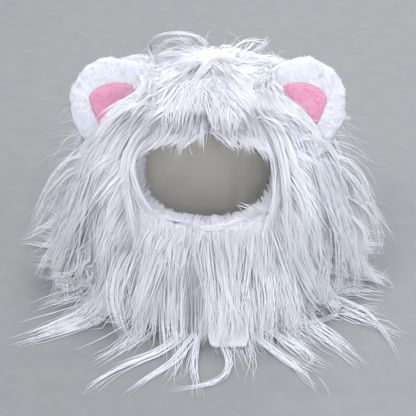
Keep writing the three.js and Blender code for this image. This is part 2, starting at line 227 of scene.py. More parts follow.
def pile_sizes(level, y, grow):
    """Half width and half depth of the pile's surface at a level, grown by some millimetres."""
    wide, front, back = (np.interp(level, _level, table) for table in (_wide, _front, _back))
    return wide + grow, np.where(y < 0, front, back) + grow


def pushed_out(point, extra):
    """The points, with those inside the pile moved to its surface, up or out, whichever is nearer."""
    x, y, z = xyz(point)
    lean = np.interp(z, _level, _up)
    level = z - extra * lean
    wide, deep = pile_sizes(level, y, extra * (1 - lean))
    reach = rounded(np.abs(x) / wide, np.abs(y) / deep, POWER) + 1e-9
    inside = (reach < 1) & (level < _level[-1])
    across = np.hypot(x, y) * (1 / reach - 1)
    radius = rounded(np.abs(x), np.abs(y) / np.where(y < 0, *DEPTH_SHARES), POWER)
    top = np.interp(radius, _wide[::-1], _level[::-1]) + extra
    up = inside & (np.maximum(0, top - z) < across)
    scale = np.where(inside & ~up, 1 / reach, 1)
    return np.stack([x * scale, y * scale, np.where(up, top, z)], -1)


def drawn_in(point, extra):
    """Points outside the pile brought back to its surface; those over its top stay."""
    x, y, z = xyz(point)
    level = z - extra * np.interp(z, _level, _up)
    wide, deep = pile_sizes(level, y, extra)
    with np.errstate(invalid="ignore"):
        reach = rounded(np.abs(x) / wide, np.abs(y) / deep, POWER) + 1e-9
    scale = np.where(reach > 1, 1 / reach, 1)
    return np.stack([x * scale, y * scale, z], -1)


def pile_front(x, z, extra):
    """How far forward the pile's surface lies at a place on the hood's front."""
    wide, deep = pile_sizes(z, -1.0, extra)
    return -deep * (1 - np.clip(np.abs(x) / wide, 0, 0.985) ** POWER) ** (1 / POWER)


def front_level(x, z, offset):
    """How far forward the hood's front lies at a place, with an offset above the cloth."""
    height = np.clip(z / HOOD_HEIGHT, 0, 0.97)
    wide = outline(height, 1) * HALF_WIDTH + offset
    deep = outline(height, 2) * HALF_DEPTH + offset
    side = np.clip(np.abs(x) / wide, 0, 0.999) ** (1 / SUPER)
    return -deep * np.sqrt(1 - side ** 2) ** SUPER


def in_front(y):
    """How far in front of the cloth a place lies, as far as the opening changes there."""
    return np.clip(-y - FRONT_START, 0, FRONT_RUN)


def opening_edge(turn, inset=0.0):
    """The place on the edge of the face opening at a turn round it, across and up."""
    return (
        (OPEN_WIDE - inset) * signed_power(np.cos(turn), OPENING_ROUNDING),
        OPENING_CENTRE + (OPEN_HIGH - inset) * signed_power(np.sin(turn), OPENING_ROUNDING),
    )


def opening_reach(point):
    """1 on the edge of the face opening, less inside it, as seen from the front."""
    x, y, z = xyz(point)
    beyond = in_front(y)
    u = x / (OPEN_WIDE + beyond * FLARE_SIDE)
    v = (z - OPENING_CENTRE - beyond * FLARE_LOW / 2) / (OPEN_HIGH - beyond * FLARE_LOW / 2)
    return rounded(np.abs(u), np.abs(v), OPENING_POWER)


def in_opening(azimuth, height, grow):
    x, y, z = xyz(hood(azimuth, height, 0.0))
    u, v = x / (OPEN_WIDE + grow), (z - OPENING_CENTRE) / (OPEN_HIGH + grow)
    return (rounded(np.abs(u), np.abs(v), OPENING_POWER) < 1) & (y < 0)


def round_opening(point, droop):
    """Moves points in front of the face opening to its edge; droop is how far they may hang into its top."""
    x, y, z = xyz(point)
    beyond = in_front(y)
    bottom = OPENING_CENTRE - OPEN_HIGH + beyond * FLARE_LOW
    top = OPENING_CENTRE + OPEN_HIGH - droop
    centre, half = (top + bottom) / 2, (top - bottom) / 2 - 1
    u, v = x / (OPEN_WIDE + beyond * FLARE_SIDE - 1), (z - centre) / half
    reach = rounded(np.abs(u), np.abs(v), OPENING_POWER) + 1e-9
    scale = np.where((reach < 1) & (y < HOOD_FRONT), 1 / reach, 1)
    return np.stack([x * scale, y, centre + (z - centre) * scale], -1)


def ear_turn(side):
    """An ear's turn on the head, about Y, then X, then Z, and its place there."""
    x, y, z = (math.radians(v) for v in (EAR_PITCH, side * EAR_ROLL, side * EAR_YAW))
    rx = np.array([[1, 0, 0], [0, math.cos(x), -math.sin(x)], [0, math.sin(x), math.cos(x)]])
    ry = np.array([[math.cos(y), 0, math.sin(y)], [0, 1, 0], [-math.sin(y), 0, math.cos(y)]])
    rz = np.array([[math.cos(z), -math.sin(z), 0], [math.sin(z), math.cos(z), 0], [0, 0, 1]])
    return rz @ rx @ ry, np.array([side * EAR_SPREAD, EAR_BACK_SET, EAR_CENTRE])


def ear_place(point, side, below, clear):
    """Places in an ear's own directions, and whether they lie over its face or in it, above the low part."""
    turn, place = ear_turn(side)
    q = (point - place) @ turn
    reach = np.hypot(q[..., 0] / (EAR_WIDTH / 2), q[..., 2] / (EAR_HEIGHT / 2))
    near = (reach < clear) & (q[..., 1] > EAR_AHEAD) & (q[..., 1] < EAR_BEHIND) & (q[..., 2] > below)
    return q, near, turn, place


def round_ears(point, clear=1.04):
    """Moves points over an ear's face or in it sideways to its rim, except low down, where fur covers it."""
    for side in (-1, 1):
        q, near, turn, place = ear_place(point, side, EAR_FREE_LOW, clear)
        x, y, z = xyz(q)
        chord = clear * EAR_WIDTH / 2 * np.sqrt(np.clip(1 - (z / (clear * EAR_HEIGHT / 2)) ** 2, 0, 1))
        rim = np.where(x < 4 * side, -chord, chord)
        q = np.stack([np.where(near, rim, x), y, z], -1)
        point = np.where(near[..., None], q @ turn.T + place, point)
    return point


def beside_ears(point):
    """Whether roots lie where an ear covers the fur, and whether they lie in front of an ear's lower part."""
    covered, before = np.zeros((2, len(point)), bool)
    for side in (-1, 1):
        q, near, _, _ = ear_place(point, side, -30, 1.02)
        low_front = (q[:, 1] <= EAR_FACE) & (q[:, 2] <= EAR_LOW)
        covered |= near & ~low_front
        before |= near & low_front
    return covered, before


def low_beside_crown(point):
    """Keeps fur behind and outside the ears below their tops."""
    top = np.interp(np.abs(point[..., 0]), *CROWN_CAP)
    return np.concatenate([point[..., :2], np.minimum(point[..., 2], top)[..., None]], -1)


def eased(value, limit, room):
    """Values over a limit drawn back into the room beyond it."""
    return np.where(value > limit, limit + room * np.tanh((value - limit) / room), value)


def within_reach(point):
    """Draws the furthest strands in, so that the whole keeps its size."""
    x, y, z = xyz(point)
    x, y = (np.sign(v) * eased(np.abs(v), limit, 14) for v, limit in ((x, SIDE_REACH), (y, FRONT_REACH)))
    return np.stack([x, y, eased(z, TOP_REACH, 8)], -1)


# Clumps of strands

def guide_paths(clumps):
    """Paths of the clumps from root to tip, with the two directions across each."""
    fall, bulk, curl, droop, parts = (clumps[k] for k in ("fall", "bulk", "curl", "droop", "parts"))
    step = clumps["length"] / (PATH_STEPS - 1)
    heading, point = unit(clumps["heading"]), clumps["root"].copy()
    flatten = np.array([1, 1, 0.0])
    path, across, ridge = [], [], []
    for share in np.arange(PATH_STEPS) / (PATH_STEPS - 1):
        far = np.hypot(point[:, 0], point[:, 1]) > 25
        turn = np.where(far, np.arctan2(point[:, 0], -point[:, 1]), clumps["azimuth"])
        sideways = round_middle(turn)
        flat = unit(square_to(sideways, heading))
        path.append(point.copy())
        across.append(flat)
        ridge.append(np.cross(heading, flat))
        heading[:, 2] -= fall * step / 20
        heading = unit(heading + sideways * (curl * share * step / 20)[:, None])
        ahead = point + heading * step[:, None]
        tunnel = (opening_reach(ahead) < 1.14) & (ahead[:, 1] < HOOD_FRONT)
        free = np.where(tunnel[:, None], ahead, pushed_out(ahead, bulk * min(1.0, share * 3 + 0.2)))
        cleared = low_beside_crown(round_ears(round_opening(free, droop)))
        free = np.where(parts[:, None], cleared, free)
        # on the floor a strand turns outward and runs along it
        low = 0.5 + bulk * 0.4 * (1 - share)
        down = free[:, 2] < low
        if down.any():
            free[down, 2] = low[down]
            gone = unit(point[down] * flatten + 1e-6)
            heading[down] = unit(heading[down] * flatten + gone * 0.25)
            free[down] = point[down] + unit(unit(free[down] - point[down]) + gone * 0.5) * step[down, None]
            free[down, 2] = low[down]
        moved = unit(free - point)
        heading = unit(heading * 0.45 + moved * 0.55)
        point = point + moved * step[:, None]
        point[:, 2] = np.maximum(point[:, 2], 0.5)
    return np.stack(path, 1), np.stack(across, 1), np.stack(ridge, 1)


def resample(values, at):
    """Values along paths (paths, steps, 3) read at shares of the length (paths, points)."""
    steps = values.shape[1]
    where = np.clip(at, 0, 1) * (steps - 1)
    low = np.minimum(where.astype(int), steps - 2)
    part = (where - low)[..., None]
    rows = np.arange(values.shape[0])[:, None]
    return values[rows, low] * (1 - part) + values[rows, low + 1] * part


def strands_of(clumps, rng, rings, radius, paths=None):
    """Centre lines of the clumps' strands, with their thickness, reference direction, tone and root."""
    path, across, ridge = paths if paths is not None else guide_paths(clumps)
    owner = np.repeat(np.arange(len(path)), clumps["count"].astype(int))
    total = len(owner)
    short, tone, loose = (clumps[key][owner] for key in ("short", "tone", "loose"))
    gather, wave, width, thick = (clumps[key][owner][:, None] for key in ("gather", "wave", "width", "thick"))
    t = np.linspace(0, 1, rings)[None, :] ** 0.9
    reach = short + (1 - short) * rng.random(total) ** 0.6
    at = t * reach[:, None]
    centre = resample(path[owner], at)
    flat = unit(resample(across[owner], at))
    up = unit(resample(ridge[owner], at))
    # where the strand lies in its bundle, and how the bundle closes towards its tip
    turn = rng.random(total) * 2 * np.pi
    far = np.sqrt(rng.random(total))
    u, v = (far * np.cos(turn))[:, None], (far * np.sin(turn))[:, None]
    spread = 1 - gather * np.clip(at, 0, 1) ** 0.8
    stray = (rng.random(total) < loose)[:, None]
    spread = np.where(stray, 1 + at * 1.6 * rng.random((total, 1)), spread)
    phase = rng.random((total, 1)) * 2 * np.pi
    waves = (1.0 + 2.2 * rng.random((total, 1))) * np.pi
    wobble = wave * (0.4 + rng.random((total, 1))) * at ** 1.3
    side = u * width / 2 * spread + wobble * np.cos(waves * at + phase)
    lift = v * thick / 2 * spread + wobble * 0.7 * np.sin(waves * at * 1.2 + phase)
    line = centre + flat * side[..., None] + up * lift[..., None]
    line = np.where(clumps["parts"][owner][:, None, None], round_ears(line, 1.0), line)
    line = within_reach(line)
    line[..., 2] = np.maximum(line[..., 2], 0.3 + 0.9 * rng.random((total, 1)))
    size = radius * (0.75 + 0.5 * rng.random((total, 1)))
    return {
        "line": line, "thick": size * np.interp(t, [0, 0.25, 0.7, 1], [0.8, 1, 0.75, 0.1]), "up": up,
        "tone": tone * 0.5 + rng.random(total) * 0.5, "root": centre[:, 0],
    }


def tubes(line, thick, up, tone):
    """Closed three-sided tapered tubes round centre lines; their normals lean outward, as in a pile."""
    total, rings = line.shape[:2]
    along = unit(np.gradient(line, axis=1))
    one = unit(square_to(up, along))
    two = np.cross(along, one)
    last = 3 * (rings - 2)
    points = np.empty((total, last + 4, 3))
    normals = np.empty_like(points)
    from_middle = line.copy()
    from_middle[..., 2] = 8 + np.maximum(line[..., 2] - 55, 0)
    from_middle = unit(from_middle)
    facing = np.where((one * from_middle).sum(-1, keepdims=True) < 0, -1.0, 1.0)
    outward = unit(one * facing + from_middle * 0.8)
    for k in range(3):
        turn = 2 * np.pi * k / 3
        away = one[:, :-1] * math.cos(turn) + two[:, :-1] * math.sin(turn)
        points[:, k:last + 3:3] = line[:, :-1] + away * thick[:, :-1, None]
        normals[:, k:last + 3:3] = unit(outward[:, :-1] * 0.9 + away * 0.5)
    points[:, -1], normals[:, -1] = line[:, -1], outward[:, -1]
    sides = [(0, 1), (1, 2), (2, 0)]
    quads = [(i + a, i + b, i + b + 3, i + a + 3) for i in range(0, last, 3) for a, b in sides]
    tris = [(2, 1, 0), *((last + a, last + b, last + 3) for a, b in sides)]
    base = (np.arange(total) * points.shape[1])[:, None, None]
    quads, tris = ((np.array(faces)[None] + base).reshape(-1, len(faces[0])) for faces in (quads, tris))
    share = np.concatenate([np.repeat(np.linspace(0, 1, rings)[:-1], 3), [1.0]])
    tone = np.repeat(tone, points.shape[1])
    return points.reshape(-1, 3), quads, tris, tone, np.tile(share, total), normals.reshape(-1, 3)


def read_vertices(mesh, key="co"):
    values = np.empty(len(mesh.vertices) * 3, np.float32)
    mesh.vertices.foreach_get(key, values)
    return values.reshape(-1, 3).astype(float)


def write_vertices(mesh, points):
    mesh.vertices.foreach_set("co", points.astype(np.float32).ravel())


def new_object(name, mesh):
    obj = bpy.data.objects.new(name, mesh)
    bpy.context.scene.collection.objects.link(obj)
    return obj


def mesh_object(name, points, quads, tris, material, attributes=None):
    """A smooth mesh from arrays in millimetres of the source."""
    mesh = bpy.data.meshes.new(name)
    quads = np.asarray(quads, int).reshape(-1, 4)
    tris = np.asarray(tris, int).reshape(-1, 3)
    loops = np.concatenate([quads.ravel(), tris.ravel()])
    mesh.vertices.add(len(points))
    write_vertices(mesh, to_frame(points))
    mesh.loops.add(len(loops))
    mesh.loops.foreach_set("vertex_index", loops.astype(np.int32))
    mesh.polygons.add(len(quads) + len(tris))
    starts = np.concatenate([np.arange(len(quads)) * 4, len(quads) * 4 + np.arange(len(tris)) * 3])
    mesh.polygons.foreach_set("loop_start", starts.astype(np.int32))
    mesh.polygons.foreach_set("use_smooth", np.full(len(starts), True))
    mesh.update(calc_edges=True)
    mesh.validate()
    for key, values in (attributes or {}).items():
        layer = mesh.attributes.new(key, "FLOAT", "POINT")
        layer.data.foreach_set("value", np.asarray(values, np.float32))
    mesh.materials.append(material)
    return new_object(name, mesh)


def baked(obj):
    """Gives the object the mesh that its modifiers make, smooth."""
    mesh = bpy.data.meshes.new_from_object(obj.evaluated_get(bpy.context.evaluated_depsgraph_get()))
    obj.modifiers.clear()
    obj.data = mesh
    mesh.polygons.foreach_set("use_smooth", np.full(len(mesh.polygons), True))
    mesh.update()
    return mesh


def carve(obj, cutter):
    modifier = obj.modifiers.new("carve", "BOOLEAN")
    modifier.operation = "DIFFERENCE"
    modifier.solver = "EXACT"
    modifier.object = cutter
    baked(obj)
    bpy.data.objects.remove(cutter)


def face_outward(obj):
    bm = bmesh.new()
    bm.from_mesh(obj.data)
    bmesh.ops.recalc_face_normals(bm, faces=bm.faces)
    bm.to_mesh(obj.data)
    bm.free()


def triangles(obj):
    return sum(len(p.vertices) - 2 for p in obj.data.polygons)


# Materials

def new_material(name, **sockets):
    """A material and its nodes; the shader's sockets are given with _ for a space."""
    material = bpy.data.materials.new(name)
    material.use_nodes = True
    for socket, value in sockets.items():
        material.node_tree.nodes["Principled BSDF"].inputs[socket.replace("_", " ")].default_value = value
    return material, material.node_tree


def add(tree, kind, sockets, **settings):
    """A node; each of its sockets gets a value or another node's output."""
    node = tree.nodes.new("ShaderNode" + kind)
    for key, value in settings.items():
        setattr(node, key, value)
    for socket, value in sockets.items():
        if isinstance(value, bpy.types.NodeSocket):
            tree.links.new(value, node.inputs[socket])
        else:
            node.inputs[socket].default_value = value
    return node


def calculate(tree, operation, *values):
    return add(tree, "Math", dict(enumerate(values)), operation=operation).outputs[0]


def coloured(tree, factor, stops):
    """The shader's colour, from a ramp."""
    node = add(tree, "ValToRGB", {0: factor})
    while len(node.color_ramp.elements) < len(stops):
        node.color_ramp.elements.new(0.5)
    for element, (place, colour) in zip(node.color_ramp.elements, stops):
        element.position = place
        element.color = (*colour, 1)
    tree.links.new(node.outputs[0], tree.nodes["Principled BSDF"].inputs["Base Color"])


def fur_material(name, dark, pale):
    """Cool white fibre: each strand has its own tone, and painted shade greys it towards the root, where the
    pile is deep.
    """
    material, tree = new_material(
        name, Roughness=0.55, Specular_IOR_Level=0.3, Sheen_Weight=0.25, Sheen_Roughness=0.4,
    )
    keys = ("strand_tone", "strand_share")
    tone, share = (add(tree, "Attribute", {}, attribute_name=key).outputs["Fac"] for key in keys)
    # the share along the strand greys the roots as painted shade and leaves the tips pale; the tone differs
    # at random between strands
    shade = calculate(tree, "MULTIPLY_ADD", share, 0.62, calculate(tree, "MULTIPLY", tone, 0.55))
    middle = tuple((d + p) / 2 for d, p in zip(dark, pale))
    coloured(tree, shade, [(0.0, dark), (0.55, middle), (1.0, pale)])
    return material


def bumped(tree, height, strength, distance):
    bump = add(tree, "Bump", {"Strength": strength, "Distance": distance, "Height": height})
    tree.links.new(bump.outputs[0], tree.nodes["Principled BSDF"].inputs["Normal"])


def object_place(tree):
    return add(tree, "TexCoord", {}).outputs["Object"]


def noise(tree, scale, detail, stretch=(1, 1, 1)):
    place = add(tree, "Mapping", {"Scale": stretch, "Vector": object_place(tree)}).outputs[0]
    sockets = {"Scale": scale, "Detail": detail, "Roughness": 0.6, "Vector": place}
    return add(tree, "TexNoise", sockets).outputs["Fac"]


def underfur_material():
    """Dense fibre under the strands: streaks that run down the hood, with painted shade that greys their
    hollows.
    """
    material, tree = new_material("underfur", Roughness=0.85, Sheen_Weight=0.3)
    streaks, patches = noise(tree, 420, 5, (1, 1, 0.12)), noise(tree, 28, 3)
    # the hollows the bump sinks are greyed as painted shade; the patches vary the tone at random
    shade = calculate(tree, "MULTIPLY_ADD", streaks, 0.6, calculate(tree, "MULTIPLY", patches, 0.4))
    coloured(tree, shade, [(0.3, (0.66, 0.68, 0.76)), (0.7, (0.84, 0.86, 0.93))])
    bumped(tree, streaks, 0.8, 0.0012)
    return material


def plush_material(name, low, high):
    """Short dense plush: fine nap with soft patches where it has been brushed another way."""
    material, tree = new_material(name, Roughness=0.9, Sheen_Weight=0.5, Sheen_Roughness=0.5)
    nap, patches = noise(tree, 900, 6), noise(tree, 60, 3)
    shade = calculate(tree, "MULTIPLY", calculate(tree, "ADD", nap, patches), 0.5)
    coloured(tree, shade, [(0.35, low), (0.65, high)])
    bumped(tree, nap, 0.7, 0.0006)
    return material


def knit_material():
    """Greige knitted backing: fine ribs of stitches, with soft wear."""
    material, tree = new_material("backing_knit", Roughness=0.9, Sheen_Weight=0.2)
    sockets = {"Scale": 330, "Distortion": 1.5, "Detail": 2, "Detail Scale": 3, "Vector": object_place(tree)}
    ribs = add(tree, "TexWave", sockets, wave_type="BANDS", bands_direction="Z").outputs["Fac"]
    soft, fine = noise(tree, 45, 4), noise(tree, 700, 3)
    stitches = calculate(tree, "MULTIPLY_ADD", ribs, 0.35, fine)
    shade = calculate(tree, "MULTIPLY_ADD", stitches, 0.3, soft)
    coloured(tree, shade, [(0.45, (0.82, 0.805, 0.77)), (0.95, (0.93, 0.92, 0.89))])
    bumped(tree, stitches, 0.35, 0.0004)
    return material


def tab_material():
    """Loop tape: a mat of tiny loops, greyed towards the gaps between them as painted shade."""
    material, tree = new_material("loop_tape", Roughness=0.85)
    loops = add(tree, "TexVoronoi", {"Scale": 900, "Vector": object_place(tree)}).outputs["Distance"]
    # the colour darkens away from each loop's middle: painted shade in the gaps between loops
    coloured(tree, loops, [(0.0, (0.80, 0.81, 0.86)), (0.8, (0.64, 0.65, 0.70))])
    bumped(tree, loops, 0.6, 0.0005)
    return material


def floor_material():
    material, tree = new_material("floor_paper", Roughness=0.9)
    coloured(tree, noise(tree, 60, 3), [(0.3, (0.255, 0.26, 0.27)), (0.7, (0.28, 0.285, 0.295))])
    return material


FUR = fur_material("fur_strands", (0.68, 0.70, 0.79), (0.89, 0.90, 0.965))
UNDERFUR = underfur_material()
PLUSH = plush_material("ear_plush", (0.70, 0.715, 0.81), (0.84, 0.855, 0.94))
PINK = plush_material("pink_plush", (0.72, 0.28, 0.45), (0.86, 0.42, 0.60))
KNIT = knit_material()
TAPE = tab_material()

made = []


def keep(obj, slot, *nodes):
    """A piece of the visual model, with the CAD nodes that it takes the place of."""
    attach(obj, "root")
    if nodes:
        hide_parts(*nodes)
    made.append(obj)


# Underfur: a dense body under the strands of each fur panel

def underfur(node):
    obj = new_object(node + "_underfur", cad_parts[node].data.copy())
    inset = -1.0 if node == "mane_crown" else -3.0
    write_vertices(obj.data, to_frame(drawn_in(from_frame(read_vertices(obj.data)), inset)))
    obj.data.update()
    remesh = obj.modifiers.new("remesh", "REMESH")
    remesh.mode = "VOXEL"
    remesh.voxel_size = 0.0031
    smooth = obj.modifiers.new("smooth", "SMOOTH")
    smooth.factor = 0.5
    smooth.iterations = 5
    mesh = baked(obj)
    # shallow streaks that run down the pile
    points = read_vertices(mesh)
    x, y, z = xyz(from_frame(points))
    turn = np.arctan2(x, -y)
    streak = (np.sin(turn * 57 + 3 * np.sin(z / 21)) + np.sin(turn * 91 + 2.1 * np.cos(z / 17))) / 2
    points -= read_vertices(mesh, "normal") * (0.0002 + 0.0006 * streak[:, None])
    points[:, 2] = np.maximum(points[:, 2], 0.0001)
    write_vertices(mesh, points)
    mesh.update()
    mesh.materials.clear()
    mesh.materials.append(UNDERFUR)
    keep(obj, "fur", node)


for node in ("mane_crown", "mane_back", "mane_right", "mane_left", "ruff_right", "ruff_left"):
    underfur(node)


# Strands

def clump_set(azimuth, height, root=None, heading=None, **values):
    """Clumps that leave the hood at these places, or at the roots and headings given."""
    azimuth, height = np.asarray(azimuth, float), np.asarray(height, float)
    defaults = {
        "length": 80, "lift": 0.5, "fall": FALL, "bulk": 2.0, "sway": 0.0, "curl": 0.0, "start": 0.88,
        "droop": 12.0, "parts": 1, "count": 30, "short": 0.6, "gather": 0.85, "loose": 0.08, "wave": 1.2,
        "width": 15, "thick": 7, "tone": 0.5,
    }
    full = {"azimuth": azimuth}
    for key, value in {**defaults, **values}.items():
        full[key] = np.broadcast_to(np.asarray(value, float), len(azimuth)).copy()
    full["parts"] = full["parts"] > 0.5
    if root is None:
        out, up = outline_normal(height)
        lift = full["lift"]
        root = hood(azimuth, height, pile_depth(height) * full["start"])
        heading = away_from_middle(azimuth) * (out * lift + 0.1)[:, None]
        heading += round_middle(azimuth) * full["sway"][:, None]
        heading[:, 2] += up * lift * 0.5 - (1 - lift)
    full["root"], full["heading"] = root, heading
    return full


def path_set(paths, **values):
    """Clumps that follow given paths, with the two directions across each."""
    clumps = clump_set(np.zeros(len(paths)), np.full(len(paths), 0.5), parts=0, **values)
    along = unit(np.gradient(paths, axis=1))
    turn = np.arctan2(paths[:, :1, 0], -paths[:, :1, 1]) * np.ones((1, paths.shape[1]))
    flat = unit(square_to(round_middle(turn), along) + 1e-3)
    return clumps, (paths, flat, np.cross(along, flat))


def joined_sets(*sets):
    return {key: np.concatenate([s[key] for s in sets]) for key in sets[0]}


def clear_of_ears(clumps):
    """Without the clumps under an ear; those in front of its lower part may cover it."""
    covered, before = beside_ears(clumps["root"])
    clumps["parts"] = clumps["parts"] & ~before
    return {key: values[~covered] for key, values in clumps.items()}


def wave(seed):
    """The same steady spread from -1 to 1 as in the part's source."""
    value = math.sin(seed * 127.1 + 311.7) * 43758.5453
    return (value - math.floor(value)) * 2 - 1


def row_values(azimuth, height):
    """Length and lift of the fur at a place, blended from the rows of locks."""
    side = np.abs(np.degrees(azimuth) % 360)
    side = np.where(side > 180, 360 - side, side)
    total, length, lift = np.zeros((3, len(azimuth)))
    for level, start, end, _, share, _, up, left in LOCK_ROWS:
        gap = np.maximum(0, np.maximum(start - side, side - end)) / 22
        weight = 1 / (0.02 + gap ** 2 + ((height - level) / 0.12) ** 2)
        total += weight
        length += weight * (share * (1 + (left - 1) * np.sin(azimuth) ** 2))
        lift += weight * up
    return length / total * LOCK_LENGTH, lift / total


def floor_spare(azimuth, rng):
    """How far fur runs out along the floor."""
    side = np.abs((np.degrees(azimuth) + 180) % 360 - 180)
    places, *ends = zip(*FLOOR_SPARE)
    least, most = (np.interp(side, places, values) for values in ends)
    return least + (most - least) * rng.random(len(azimuth)) ** 3.2


def body_clumps(rng):
    """Clumps all over the hood below the crown."""
    azimuth, height = [], []
    for row in range(BODY_ROWS):
        level = 0.05 + 0.85 * (row / (BODY_ROWS - 1)) ** 0.95
        around = 2 * math.pi * (outline(level, 1) * 0.94 * HALF_WIDTH + pile_depth(level))
        count = int(around / BODY_SPACING)
        turn = (np.arange(count) + rng.random()) / count * 2 * np.pi + (rng.random(count) - 0.5) * 0.10
        azimuth.append((turn + np.pi) % (2 * np.pi) - np.pi)
        height.append(level + (rng.random(count) - 0.5) * 0.07)
    azimuth, height = np.concatenate(azimuth), np.concatenate(height)
    free = ~in_opening(azimuth, height, 2.5)
    azimuth, height = azimuth[free], height[free]
    n = len(azimuth)
    length, lift = row_values(azimuth, height)
    side = np.abs(np.degrees(azimuth))
    brow = (side < 44) & (height > 0.78)
    length = np.where(brow, 25 + 18 * rng.random(n) + side * 0.6, length * (0.85 + 0.35 * rng.random(n)))
    length = np.minimum(length, height * HOOD_HEIGHT * 1.08 + floor_spare(azimuth, rng))
    sway = np.where(brow, np.sign(azimuth) * (0.35 + 0.5 * rng.random(n)), 0.30 * (rng.random(n) - 0.5))
    lift = np.clip(lift - 0.10 * (side > 90) + 0.2 * (rng.random(n) - 0.5), 0.2, 0.8)
    lift = lift * np.where((side > 40) & (side < 150), 0.6, 1.0)
    return clump_set(
        azimuth, height, length=length, lift=lift, bulk=0.4 + 3.8 * rng.random(n), sway=sway,
        curl=np.where((side > 28) & (side < 110), 2.8, 1.3) * (rng.random(n) - 0.5) * (height < 0.75),
        start=0.84 + 0.10 * rng.random(n), count=np.where(side < 55, 36, np.where(side > 125, 32, 34)),
        width=16 + 9 * rng.random(n), thick=3 + 2.5 * rng.random(n),
        gather=0.10 + 0.65 * rng.random(n) ** 1.3, tone=rng.random(n), droop=3 + 9 * rng.random(n),
        loose=0.10,
        wave=np.where(side > 125, 0.8, 1.2) + 2.4 * rng.random(n) ** 2,
    )


def crown_clumps(rng):
    """Clumps that puff up at the top and fall to all sides, with more over the brow and the ears."""
    even, more = 84, 34
    turn = (np.arange(even) * GOLDEN_TURN + 0.3 + np.pi) % (2 * np.pi) - np.pi
    height = 1 - 0.10 * (np.arange(even) + 0.5) / even
    turn = np.concatenate([turn, np.radians(np.linspace(-72, 72, more))])
    height = np.concatenate([height, 0.93 + 0.065 * rng.random(more)])
    n = even + more
    side = np.abs(np.degrees(turn))
    length = np.interp(side, [0, 30, 60, 95, 125, 180], [34, 36, 34, 34, 62, 80])
    length = length * (0.8 + 0.4 * rng.random(n))
    return clump_set(
        turn, height, length=length, lift=0.34 + 0.26 * rng.random(n) - 0.1 * (side > 100), fall=CROWN_FALL,
        bulk=0.3 + 1.8 * rng.random(n), sway=0.4 * (rng.random(n) - 0.5), curl=0.4 * (rng.random(n) - 0.5),
        start=0.85, count=34, width=17, thick=4, gather=0.1 + 0.4 * rng.random(n), loose=0.05,
        tone=rng.random(n),
    )


def apex_clumps(rng):
    """Clumps that cross the middle of the crown."""
    n = 30
    turn = rng.random(n) * 2 * np.pi
    root = away_from_middle(turn) * (4 + 12 * rng.random(n))[:, None]
    root[:, 2] = HOOD_HEIGHT + 10.0
    ahead = turn + np.pi + 0.9 * (rng.random(n) - 0.5)
    heading = away_from_middle(ahead)
    heading[:, 2] = 0.12 + 0.16 * rng.random(n)
    return clump_set(
        ahead, np.full(n, 0.99), root=root, heading=heading, length=30 + 18 * rng.random(n), fall=CROWN_FALL,
        bulk=0.5 + 2.0 * rng.random(n), curl=0.5 * (rng.random(n) - 0.5), width=13, thick=3.5,
        gather=0.1 + 0.4 * rng.random(n), tone=rng.random(n),
    )


def flyaways(rng):
    """Single fine hairs that stand off the fur."""
    turn = (rng.random(FLYAWAYS) * 2 - 1) * np.pi
    height = 0.12 + 0.87 * rng.random(FLYAWAYS) ** 0.8
    free = ~in_opening(turn, height, 4.0)
    turn, height = turn[free], height[free]
    n = len(turn)
    return clump_set(
        turn, height, length=22 + 34 * rng.random(n), lift=0.55 + 0.5 * rng.random(n),
        fall=0.25 + 0.5 * rng.random(n), bulk=2 + 5 * rng.random(n), sway=1.6 * (rng.random(n) - 0.5),
        curl=3.5 * (rng.random(n) - 0.5), start=0.95, count=1, width=2, thick=2, short=0.9, gather=0, loose=0,
        wave=2.0, tone=rng.random(n),
    )


def curl_clumps(rng):
    """Small curled bundles at the lower edge, mostly at the front corners and sides."""
    n = 64
    side = np.sign(rng.random(n) - 0.5)
    azimuth = side * np.radians(10 + 110 * rng.random(n) ** 0.8)
    height = 0.10 + 0.22 * rng.random(n)
    root = hood(azimuth, height, pile_depth(height))
    along = round_middle(azimuth) * np.sign(rng.random(n) - 0.4)[:, None] * side[:, None]
    size, turns, reach = 5 + 6 * rng.random(n), 1.1 + 0.9 * rng.random(n), 10 + 24 * rng.random(n)
    drop = root[:, 2] * (0.75 + 0.2 * rng.random(n))
    size, turns, reach, drop = (v[:, None] for v in (size, turns, reach, drop))
    t = np.linspace(0, 1, PATH_STEPS)[None, :]
    angle = 2 * np.pi * turns * t ** 1.3
    paths = root[:, None] + away_from_middle(azimuth)[:, None] * (2 + reach * t ** 1.5)[..., None]
    paths = paths + along[:, None] * (size * np.sin(angle) * t ** 0.5 + 6 * t)[..., None]
    paths[..., 2] -= drop * t - size * (1 - np.cos(angle)) * 0.5 * t ** 0.5
    paths[..., 2] = np.maximum(paths[..., 2], 1.2)
    return path_set(
        paths, count=10, width=5 + 4 * rng.random(n), thick=3, gather=0.2, short=0.7, loose=0.05, wave=0.8,
        tone=0.4 + 0.6 * rng.random(n),
    )


